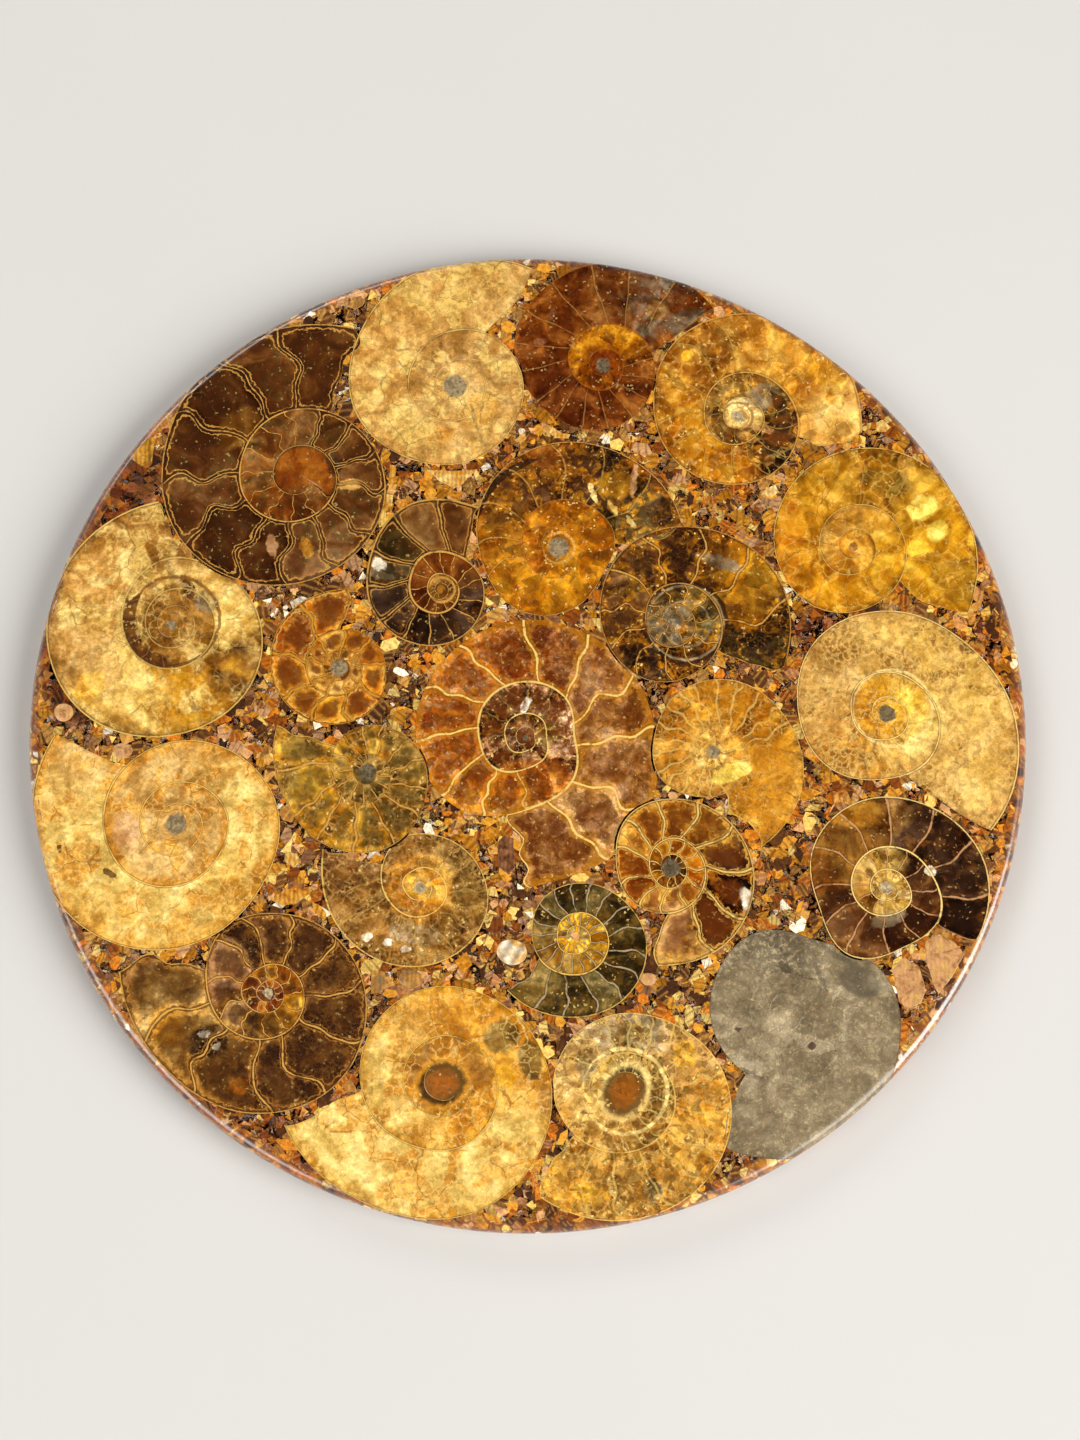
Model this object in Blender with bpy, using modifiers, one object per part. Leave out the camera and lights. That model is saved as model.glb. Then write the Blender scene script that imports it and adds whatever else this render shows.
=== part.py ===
"""Ammonite fossil plate: a round slab of cast resin that holds sliced, polished ammonites.

The frame is metres with +Z up.  The origin is the middle of the flat underside.  Each shell slice is
one solid, set flush with the polished top in a pocket of its own, and so is each of the larger stone
chips between them.  The finer chips are part of the cast filling and are not solids here.
"""
import math

import bmesh
import bpy

MM = 0.001

# Driving dimensions
PLATE_RADIUS = 100 * MM
PLATE_THICKNESS = 8 * MM
RIM_ROUND = 1.8 * MM
SLICE_THICKNESS = 5 * MM
CHIP_THICKNESS = 3 * MM
GAP = 0.3 * MM

# Resolution of the round shapes
RIM_SEGMENTS = 84
RIM_ROUND_SEGMENTS = 3
OUTLINE_POINTS = 36
PEBBLE_POINTS = 9
KEYS_PER_TURN = 8
KEY_STEP = 360 / KEYS_PER_TURN
OVERSHOOT = 1 * MM
TRIM_STEP = 0.1 * MM
TRIM_CLEARANCE = GAP + TRIM_STEP

# A shell slice: the centre of its spiral, the direction of its mouth in degrees, how much the spiral
# grows in one turn, and its outer radius every 45 degrees back from the mouth, all in millimetres.
# Every shell coils clockwise as seen from above.  A shell that stands earlier in the list is whole,
# and a later one is trimmed where the two would touch.
SHELLS = {
    "ammonite_dark_chambered_right": dict(
        centre=(70.7, -33.3), mouth=330, growth=1.72,
        radii=(20.4, 20.3, 18.8, 18.0, 16.4, 13.9, 15.4, 12.2), colour="dark_brown"),
    "ammonite_small_chambered": dict(
        centre=(28.3, -29.3), mouth=262, growth=2.13,
        radii=(19.6, 18.4, 16.6, 15.0, 14.0, 13.4, 11.0, 10.3), colour="amber_brown"),
    "ammonite_grey_green": dict(
        centre=(9.3, -43.0), mouth=218, growth=2.10,
        radii=(17.0, 15.9, 15.5, 14.2, 12.0, 10.8, 9.9, 8.6), colour="grey_green"),
    "ammonite_sutured_brown": dict(
        centre=(-46.9, 52.3), mouth=72, growth=2.32,
        radii=(33.5, 31.0, 28.4, 27.8, 24.8, 21.3, 18.6, 16.0), colour="dark_brown"),
    "ammonite_cream_top": dict(
        centre=(-15.0, 71.2), mouth=58, growth=2.28,
        radii=(30.5, 27.0, 23.2, 21.4, 18.3, 16.4, 14.7, 14.0), colour="cream"),
    "ammonite_red_brown_top": dict(
        centre=(15.5, 75.8), mouth=28, growth=2.55,
        radii=(26.4, 23.8, 21.2, 19.0, 15.8, 14.5, 12.9, 11.1), colour="red_brown"),
    "ammonite_dark_ringed": dict(
        centre=(-17.7, 27.7), mouth=66, growth=2.40,
        radii=(19.0, 19.2, 15.9, 14.3, 12.5, 11.0, 9.4, 8.6), colour="dark_brown"),
    "ammonite_golden_upper_centre": dict(
        centre=(6.3, 36.5), mouth=12, growth=2.20,
        radii=(25.6, 23.9, 21.9, 18.7, 15.8, 15.5, 13.2, 10.5), colour="golden_brown"),
    "ammonite_mottled_centre_right": dict(
        centre=(37.0, -5.9), mouth=295, growth=2.52,
        radii=(21.4, 18.9, 16.3, 15.4, 14.0, 12.2, 11.9, 9.7), colour="golden_cream"),
    "ammonite_cream_right": dict(
        centre=(72.0, 2.0), mouth=310, growth=2.50,
        radii=(31.0, 26.0, 22.0, 21.3, 20.6, 18.0, 16.5, 13.6), colour="cream"),
    "ammonite_yellow_right": dict(
        centre=(66.3, 36.7), mouth=329, growth=2.35,
        radii=(26.7, 24.4, 22.8, 19.9, 17.2, 15.8, 15.0, 13.0), colour="yellow"),
    "ammonite_amber_upper_right": dict(
        centre=(43.3, 64.7), mouth=352, growth=2.04,
        radii=(25.7, 25.0, 22.8, 20.8, 17.6, 16.2, 14.9, 14.0), colour="golden_brown"),
    "ammonite_large_cream_left": dict(
        centre=(-69.7, -20.5), mouth=143, growth=2.00,
        radii=(30.8, 28.5, 27.0, 24.4, 21.3, 20.3, 18.2, 16.6), colour="cream"),
    "ammonite_brown_lower_left": dict(
        centre=(-50.7, -54.0), mouth=172, growth=2.43,
        radii=(29.6, 24.6, 23.5, 22.4, 19.5, 17.2, 15.8, 15.5), colour="amber_brown"),
    "ammonite_olive_left": dict(
        centre=(-32.0, -10.0), mouth=152, growth=2.56,
        radii=(20.5, 17.3, 16.8, 15.8, 13.0, 11.4, 10.1, 9.2), colour="olive"),
    "ammonite_cream_bottom": dict(
        centre=(-16.0, -71.7), mouth=194, growth=2.03,
        radii=(32.0, 27.0, 25.0, 22.1, 20.0, 19.0, 19.0, 17.7), colour="cream"),
    "ammonite_grey_pyrite": dict(
        centre=(50.7, -58.0), mouth=245, growth=2.04,
        radii=(28.8, 27.0, 23.0, 20.8, 15.6, 16.9, 15.6, 14.8), colour="pyrite_grey"),
    "ammonite_open_centre": dict(
        centre=(18.5, -72.8), mouth=232, growth=2.08,
        radii=(26.0, 24.6, 23.0, 20.0, 16.2, 14.7, 14.0, 13.5), colour="golden_cream"),
    "ammonite_double_ringed_left": dict(
        centre=(-72.0, 20.3), mouth=95, growth=1.80,
        radii=(26.4, 25.3, 25.3, 25.0, 22.8, 20.8, 17.8, 15.0), colour="cream"),
    "ammonite_golden_centre_left": dict(
        centre=(-21.3, -33.2), mouth=158, growth=2.54,
        radii=(20.8, 18.0, 16.3, 15.2, 14.2, 12.3, 11.0, 10.5), colour="golden_brown"),
    "ammonite_orange_left": dict(
        centre=(-38.0, 11.3), mouth=84, growth=2.09,
        radii=(16.7, 15.5, 13.9, 12.7, 11.7, 11.0, 9.6, 9.0), colour="orange"),
    "ammonite_brown_upper_centre": dict(
        centre=(29.3, 21.0), mouth=338, growth=2.25,
        radii=(24.3, 23.5, 21.0, 18.7, 15.6, 13.9, 13.2, 11.6), colour="amber_brown"),
    "ammonite_red_centre": dict(
        centre=(-0.5, -3.0), mouth=272, growth=2.10,
        radii=(30.3, 29.5, 26.2, 25.0, 24.3, 22.8, 21.8, 19.6), colour="orange"),
}

# The larger angular chips: their corners in millimetres, counter-clockwise.
CHIPS = {
    "chip_cream_wedge": dict(colour="cream", corners=(
        (-20.8, 53.2), (-18.3, 50.8), (-15.1, 49.1), (-13.1, 50.2), (-10.6, 53.2), (-15.5, 53.0))),
    "chip_cream_shard": dict(colour="cream", corners=(
        (4.4, 61.2), (5.5, 59.9), (8.4, 59.9), (8.8, 60.8), (6.9, 61.2), (5.0, 62.5))),
    "chip_orange_bar": dict(colour="orange", corners=(
        (-28.6, 49.9), (-27.1, 50.0), (-26.9, 54.2), (-28.3, 54.3))),
    "chip_small_cream": dict(colour="cream", corners=(
        (-29.1, 45.3), (-27.7, 45.3), (-27.5, 47.9), (-28.9, 48.0))),
    "chip_red_brown": dict(colour="red_brown", corners=(
        (-7.9, -41.8), (-6.2, -42.6), (-4.6, -41.4), (-4.9, -39.4), (-6.8, -38.8))),
    "chip_purple_block": dict(colour="plum", corners=(
        (-5.9, -29.2), (-3.6, -30.8), (-2.4, -29.2), (-2.8, -23.4), (-4.7, -22.6), (-6.1, -24.2))),
    "chip_tan_chunk": dict(colour="tan", corners=(
        (-30.7, -54.2), (-28.8, -54.2), (-27.1, -52.0), (-28.0, -49.8), (-30.8, -49.4))),
    "chip_cream_right_rim": dict(colour="cream", corners=(
        (71.4, 61.4), (73.6, 61.2), (74.8, 62.4), (73.2, 64.0), (71.6, 63.4))),
    "chip_white": dict(colour="cream", corners=(
        (47.6, 47.8), (49.9, 47.2), (51.4, 48.4), (50.8, 50.0), (48.8, 49.4))),
    "chip_pale_top_rim": dict(colour="tan", corners=(
        (-37.8, 88.9), (-36.0, 88.0), (-34.4, 88.8), (-33.8, 90.2), (-34.8, 91.2), (-36.6, 90.8))),
    "chip_pink_cell": dict(colour="pink_tan", corners=(
        (72.4, -55.4), (73.9, -57.4), (76.9, -56.0), (78.0, -53.4), (76.7, -48.8), (73.8, -46.9),
        (71.2, -49.4))),
    "chip_tan_cell": dict(colour="pink_tan", corners=(
        (77.9, -47.7), (79.3, -52.4), (80.2, -54.4), (83.0, -51.0), (85.8, -46.2), (83.6, -43.9),
        (80.8, -42.4), (77.9, -43.8))),
    "chip_yellow_green": dict(colour="olive", corners=(
        (-79.2, 53.8), (-77.0, 54.9), (-76.7, 58.4), (-77.8, 60.4), (-80.6, 57.4), (-81.2, 55.4))),
    "chip_orange_wedge": dict(colour="orange", corners=(
        (-50.8, -35.6), (-48.4, -37.0), (-45.6, -36.4), (-42.9, -34.5), (-43.0, -33.0),
        (-47.9, -33.4))),
    "chip_cream_crescent": dict(colour="cream", corners=(
        (-48.2, -28.0), (-46.2, -29.4), (-44.8, -28.0), (-45.6, -26.4), (-48.0, -25.8))),
}

# The rounded pebbles: centre and half length and width in millimetres.
PEBBLES = {
    "pebble_pink": dict(centre=(-93.0, 2.2), half=(2.0, 2.0), colour="pink_tan"),
    "pebble_pale_left": dict(centre=(-80.9, -5.7), half=(2.1, 1.7), colour="pink_tan"),
    "pebble_round_grey": dict(centre=(-22.9, -51.3), half=(2.4, 2.0), colour="tan"),
    "pebble_striped": dict(centre=(-3.1, -46.0), half=(3.1, 2.6), colour="cream"),
    "pebble_rose": dict(centre=(23.6, -51.3), half=(1.6, 1.4), colour="pink_tan"),
}

# Colour, roughness: polished stone is glossy, and the pyrite slice is the dullest.
FINISHES = {
    "resin_amber": ((0.30, 0.12, 0.03, 1.0), 0.15),
    "dark_brown": ((0.09, 0.04, 0.02, 1.0), 0.22),
    "amber_brown": ((0.28, 0.13, 0.04, 1.0), 0.22),
    "red_brown": ((0.22, 0.06, 0.02, 1.0), 0.20),
    "golden_brown": ((0.45, 0.25, 0.06, 1.0), 0.24),
    "golden_cream": ((0.62, 0.40, 0.15, 1.0), 0.26),
    "cream": ((0.72, 0.54, 0.27, 1.0), 0.28),
    "yellow": ((0.66, 0.42, 0.08, 1.0), 0.22),
    "olive": ((0.30, 0.21, 0.06, 1.0), 0.26),
    "orange": ((0.55, 0.19, 0.03, 1.0), 0.22),
    "grey_green": ((0.20, 0.17, 0.08, 1.0), 0.28),
    "pyrite_grey": ((0.32, 0.28, 0.20, 1.0), 0.40),
    "tan": ((0.48, 0.32, 0.19, 1.0), 0.35),
    "pink_tan": ((0.60, 0.36, 0.26, 1.0), 0.32),
    "plum": ((0.25, 0.14, 0.12, 1.0), 0.32),
}


def clear_scene():
    """Remove what the scene starts with."""
    for obj in list(bpy.data.objects):
        bpy.data.objects.remove(obj)


def make_collection(name):
    """Make a collection and hang it in the scene."""
    collection = bpy.data.collections.new(name)
    bpy.context.scene.collection.children.link(collection)
    return collection


def make_material(name):
    """Principled material for one of the finishes."""
    colour, roughness = FINISHES[name]
    material = bpy.data.materials.new(name)
    material.use_nodes = True
    shader = material.node_tree.nodes["Principled BSDF"]
    shader.inputs["Base Color"].default_value = colour
    shader.inputs["Roughness"].default_value = roughness
    shader.inputs["Metallic"].default_value = 0.0
    return material


def key_radius(shell, index):
    """Outer radius at a key, counted back from the mouth; each turn back shrinks by the growth."""
    turns, key = divmod(index, KEYS_PER_TURN)
    return shell["radii"][key] * MM / shell["growth"] ** turns


def reach(shell, degrees_back):
    """Outer radius so many degrees back from the mouth, on a smooth curve through the keys."""
    key, along = divmod(degrees_back / KEY_STEP, 1)
    before, here, there, after = (key_radius(shell, int(key) + step) for step in (-1, 0, 1, 2))
    bend = 2 * before - 5 * here + 4 * there - after
    swing = 3 * here - before - 3 * there + after
    return here + 0.5 * along * (there - before + along * (bend + along * swing))


def inside(shell, x, y, clearance):
    """True where a point is on a shell slice or nearer to it than the clearance."""
    dx = x - shell["centre"][0] * MM
    dy = y - shell["centre"][1] * MM
    degrees_back = (math.degrees(math.atan2(dy, dx)) - shell["mouth"]) % 360
    return math.hypot(dx, dy) < reach(shell, degrees_back) + clearance


def shell_outline(shell, whole_neighbours, grow=0.0):
    """Outline of a slice: one turn of its spiral and the straight mouth, trimmed off neighbours."""
    centre_x, centre_y = (value * MM for value in shell["centre"])
    outline = []
    for step in range(OUTLINE_POINTS + 1):
        degrees_back = 360 * step / OUTLINE_POINTS
        angle = math.radians(shell["mouth"] + degrees_back)
        radius = reach(shell, degrees_back)
        while any(inside(other, centre_x + radius * math.cos(angle),
                         centre_y + radius * math.sin(angle), TRIM_CLEARANCE)
                  for other in whole_neighbours):
            radius -= TRIM_STEP
        radius += grow
        outline.append((centre_x + radius * math.cos(angle), centre_y + radius * math.sin(angle)))
    return outline


def grown(outline, grow):
    """The same outline with every side moved outwards; corners run counter-clockwise."""
    moved = []
    count = len(outline)
    for index, (x, y) in enumerate(outline):
        before = outline[index - 1]
        after = outline[(index + 1) % count]
        in_x, in_y = unit(x - before[0], y - before[1])
        out_x, out_y = unit(after[0] - x, after[1] - y)
        normal_x, normal_y = unit(in_y + out_y, -in_x - out_x)
        shift = grow / max(normal_x * in_y - normal_y * in_x, 0.5)
        moved.append((x + normal_x * shift, y + normal_y * shift))
    return moved


def unit(x, y):
    """A direction of length one."""
    length = math.hypot(x, y)
    return x / length, y / length


def pebble_outline(pebble):
    """Ellipse of a rounded pebble."""
    centre_x, centre_y = pebble["centre"]
    half_x, half_y = pebble["half"]
    turns = [2 * math.pi * step / PEBBLE_POINTS for step in range(PEBBLE_POINTS)]
    return [((centre_x + half_x * math.cos(turn)) * MM, (centre_y + half_y * math.sin(turn)) * MM)
            for turn in turns]


def flat_solid(name, outline, bottom, top, collection):
    """Solid of one flat outline between two heights, from a filled 2D curve made a mesh."""
    curve = bpy.data.curves.new(name + "_outline", "CURVE")
    curve.dimensions = "2D"
    curve.fill_mode = "BOTH"
    curve.extrude = (top - bottom) / 2
    spline = curve.splines.new("POLY")
    spline.points.add(len(outline) - 1)
    for point, (x, y) in zip(spline.points, outline):
        point.co = (x, y, 0.0, 1.0)
    spline.use_cyclic_u = True
    guide = bpy.data.objects.new(name + "_guide", curve)
    guide.location.z = (top + bottom) / 2
    collection.objects.link(guide)
    bpy.context.view_layer.update()
    evaluated = guide.evaluated_get(bpy.context.evaluated_depsgraph_get())
    mesh = bpy.data.meshes.new_from_object(evaluated)
    mesh.name = name
    weld(mesh)
    solid = bpy.data.objects.new(name, mesh)
    solid.matrix_world = guide.matrix_world
    collection.objects.link(solid)
    bpy.data.objects.remove(guide)
    return solid


def weld(mesh):
    """Join the loose caps of a converted curve to its walls and turn the faces outwards."""
    bm = bmesh.new()
    bm.from_mesh(mesh)
    bmesh.ops.remove_doubles(bm, verts=bm.verts, dist=0.01 * MM)
    bmesh.ops.recalc_face_normals(bm, faces=bm.faces)
    bm.to_mesh(mesh)
    bm.free()


def plate_blank(name, collection):
    """The whole round plate with both rims rounded, before any pocket is cut."""
    mesh = bpy.data.meshes.new(name)
    bm = bmesh.new()
    bmesh.ops.create_cone(bm, cap_ends=True, segments=RIM_SEGMENTS, radius1=PLATE_RADIUS,
                          radius2=PLATE_RADIUS, depth=PLATE_THICKNESS)
    bmesh.ops.translate(bm, verts=bm.verts, vec=(0, 0, PLATE_THICKNESS / 2))
    bm.to_mesh(mesh)
    bm.free()
    blank = bpy.data.objects.new(name, mesh)
    collection.objects.link(blank)
    rounding = blank.modifiers.new("rounded_rims", "BEVEL")
    rounding.width = RIM_ROUND
    rounding.segments = RIM_ROUND_SEGMENTS
    rounding.limit_method = "ANGLE"
    rounding.angle_limit = math.radians(60)
    return blank


def hide_cutter(cutter):
    """A cutter shows as wire and never renders."""
    cutter.hide_render = True
    cutter.display_type = "WIRE"


def cut_to_plate(solid, blank):
    """Cut an inlaid solid off at the plate's top and rounded rim."""
    trim = solid.modifiers.new("plate_shape", "BOOLEAN")
    trim.operation = "INTERSECT"
    trim.solver = "EXACT"
    trim.object = blank


def make_inlay(name, outline, pocket_outline, thickness, finish, parts, pockets, blank):
    """One slice, chip or pebble flush with the top, and the cutter of its pocket."""
    seat = PLATE_THICKNESS - thickness
    above = PLATE_THICKNESS + OVERSHOOT
    inlay = flat_solid(name, outline, seat, above, parts)
    inlay.data.materials.append(make_material(finish))
    cut_to_plate(inlay, blank)
    pocket = flat_solid(name + "_pocket", pocket_outline, seat - GAP, above, pockets)
    hide_cutter(pocket)


def make_shells(parts, pockets, blank):
    """Every ammonite slice, each trimmed off those that stand before it."""
    placed = []
    for name, shell in SHELLS.items():
        make_inlay(name, shell_outline(shell, placed), shell_outline(shell, placed, GAP),
                   SLICE_THICKNESS, shell["colour"], parts, pockets, blank)
        placed.append(shell)


def make_stones(parts, pockets, blank):
    """The larger chips and the pebbles between the shells."""
    stones = {name: (as_metres(chip["corners"]), chip["colour"]) for name, chip in CHIPS.items()}
    for name, pebble in PEBBLES.items():
        stones[name] = (pebble_outline(pebble), pebble["colour"])
    for name, (outline, colour) in stones.items():
        make_inlay(name, outline, grown(outline, GAP), CHIP_THICKNESS, colour, parts, pockets, blank)


def as_metres(corners):
    """Corners given in millimetres, in metres."""
    return [(x * MM, y * MM) for x, y in corners]


def make_resin(parts, pockets):
    """The cast plate with a pocket for every inlaid piece."""
    resin = plate_blank("resin_plate", parts)
    resin.data.materials.append(make_material("resin_amber"))
    cut = resin.modifiers.new("pockets", "BOOLEAN")
    cut.operation = "DIFFERENCE"
    cut.solver = "EXACT"
    cut.operand_type = "COLLECTION"
    cut.collection = pockets


def build():
    """Model the whole plate."""
    clear_scene()
    parts = make_collection("ammonite_fossil_plate")
    pockets = make_collection("pocket_cutters")
    guides = make_collection("shape_guides")
    blank = plate_blank("plate_shape", guides)
    hide_cutter(blank)
    make_shells(parts, pockets, blank)
    make_stones(parts, pockets, blank)
    make_resin(parts, pockets)


build()
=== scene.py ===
"""Ammonite fossil plate: sliced ammonites, stone chips and pebbles cast in amber resin.

Laid out as a Blender add-on and run as a script.  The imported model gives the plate's frame, and every
piece here is made around it, in metres, with +Z up and the origin in the middle of the underside.
"""
import functools
import math

import bpy
import numpy as np
from bpy.props import FloatProperty, FloatVectorProperty, IntProperty, PointerProperty
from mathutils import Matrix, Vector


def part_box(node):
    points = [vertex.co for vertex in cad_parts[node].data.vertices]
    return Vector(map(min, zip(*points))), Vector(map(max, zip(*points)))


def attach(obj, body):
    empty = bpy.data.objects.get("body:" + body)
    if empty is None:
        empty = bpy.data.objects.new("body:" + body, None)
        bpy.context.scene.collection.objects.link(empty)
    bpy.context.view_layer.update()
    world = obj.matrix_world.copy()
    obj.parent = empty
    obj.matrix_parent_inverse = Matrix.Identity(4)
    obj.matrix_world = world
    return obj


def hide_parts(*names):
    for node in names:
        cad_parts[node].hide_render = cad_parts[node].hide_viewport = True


bl_info = {
    "name": "Ammonite fossil plate",
    "version": (1, 0, 0),
    "blender": (4, 5, 0),
    "location": "View3D > Sidebar > Fossil plate",
    "description": "Polished resin plate of sliced ammonites with a filling of crushed stone",
    "category": "Object",
}

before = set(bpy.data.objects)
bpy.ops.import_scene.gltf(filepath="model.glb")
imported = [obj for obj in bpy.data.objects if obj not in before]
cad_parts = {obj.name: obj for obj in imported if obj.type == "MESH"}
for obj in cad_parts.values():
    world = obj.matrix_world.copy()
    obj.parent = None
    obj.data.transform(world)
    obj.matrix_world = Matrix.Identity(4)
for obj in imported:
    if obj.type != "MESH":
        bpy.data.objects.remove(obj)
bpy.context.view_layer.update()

MM = 0.001
FULL_TURN = 360.0
KEYS_PER_TURN = 8
KEY_STEP = FULL_TURN / KEYS_PER_TURN
BODY = "root"

PLATE_LOW, PLATE_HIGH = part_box("resin_plate")
PLATE_RADIUS = (PLATE_HIGH.x - PLATE_LOW.x) / 2
PLATE_TOP = PLATE_HIGH.z
SEAL = 0.04 * MM
SLICE_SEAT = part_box("ammonite_cream_top")[0].z
STONE_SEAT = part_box("chip_cream_wedge")[0].z


def tone(red, green, blue):
    """Linear colour from the everyday 0 to 255 values of a swatch."""
    def linear(value):
        share = value / 255
        if share <= 0.04045:
            return share / 12.92
        return ((share + 0.055) / 1.055) ** 2.4
    return (linear(red), linear(green), linear(blue), 1.0)


# ----- Palette: every colour of shell and stone -----
IVORY = tone(250, 235, 205)
PALE_CREAM = tone(250, 215, 130)
CREAM = tone(235, 190, 95)
SAND = tone(215, 160, 75)
BEIGE = tone(195, 140, 65)
PINK_BEIGE = tone(205, 150, 100)
BUTTER = tone(255, 220, 95)
YELLOW = tone(240, 175, 35)
MUSTARD = tone(190, 130, 20)
HONEY = tone(210, 140, 35)
GOLD = tone(185, 115, 10)
ORANGE = tone(195, 105, 10)
AMBER = tone(150, 75, 10)
RUST = tone(135, 70, 15)
RED_BROWN = tone(100, 45, 10)
TAN = tone(155, 105, 45)
OCHRE = tone(140, 90, 25)
BROWN = tone(105, 60, 20)
UMBER = tone(80, 42, 15)
DARK_BROWN = tone(50, 28, 14)
BLACK_BROWN = tone(35, 20, 10)
OLIVE = tone(120, 90, 35)
DARK_OLIVE = tone(75, 60, 25)
GREY_BEIGE = tone(168, 148, 112)
WARM_GREY = tone(134, 117, 86)
DARK_GREY = tone(94, 82, 60)
ROSE_BROWN = tone(160, 105, 65)
STRAW = tone(235, 197, 108)
FAWN = tone(205, 158, 86)


# ----- The shells -----
# Every shell coils clockwise as seen from above.  Lengths are millimetres and angles are degrees.
#   slot            the slot of the record whose finish it has
#   centre, mouth   the pole of the spiral and the direction of its mouth
#   radii           outer radius every 45 degrees back from the mouth, over the last turn
#   inner           the same for the turn before it; where it is left out, growth gives it
#   growth          how much the spiral grows in one turn
#   core            radius at which the whorls give way to the centre
#   septa           walls between chambers in one turn
#   body            degrees behind the mouth that have no walls, where the animal lived
#   slant, curl     how far a wall leans along the whorl, and how much of that is near its inner end
#   bow, wave       how far it bulges, and how far it ripples
#   ages            colours along the spiral, in turns behind the mouth
#   second, patch   colour of the patches and their share; how many patches to the millimetre
#   rind            colour just inside the outer wall, its width and strength
#   core_tone       colour of the solid centre
#   line            colour, width and strength of the walls; line_reach and inner_line weaken old ones
#   whorl_line      width of the wall between whorls; whorl_tone, inner_ring, outer_ring and edge are
#                   its colour, its strength inside and outside, and that of the dark edge beside it
#   heart           colour in the middle of a chamber, with its strength
#   loop, gap       lining inside a chamber: inset, width, colour, strength, turns; colour outside it
#   net             pale veins: spacing, width, colour and strength
#   grain, crystal  strength of the fine grain; strength of the crystal facets, and facet size
#   dot, hole       radius and colour of the middle; a window's middle, half sizes, turn and ring
#   spots           single markings: middle, half sizes, turn, colour and strength
#   arcs            parts of rings: middle, radius, half width, first and last degree, colour, strength
#   lively, uneven  how much the depth of the mineral varies, and how ragged the lining is
#   dull            how much rougher its polish is
AGE_SPAN = 3.0
# What a shell has where it says nothing else.
COMMON = dict(
    growth=2.2, core=1.0, septa=13, body=0, slant=-10, curl=1.0, wave=1.0, patch=0.45, grain=0.5,
    lively=1.5, uneven=0.8, edge=0.6, dull=0.0, dot=0.0, dot_tone=WARM_GREY, inner_ring=1.0,
    outer_ring=0.85, inner_line=1.0, line_reach=AGE_SPAN)


def coiled(**values):
    """One shell: the common values, and its own over them."""
    return {**COMMON, **values}


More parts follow.
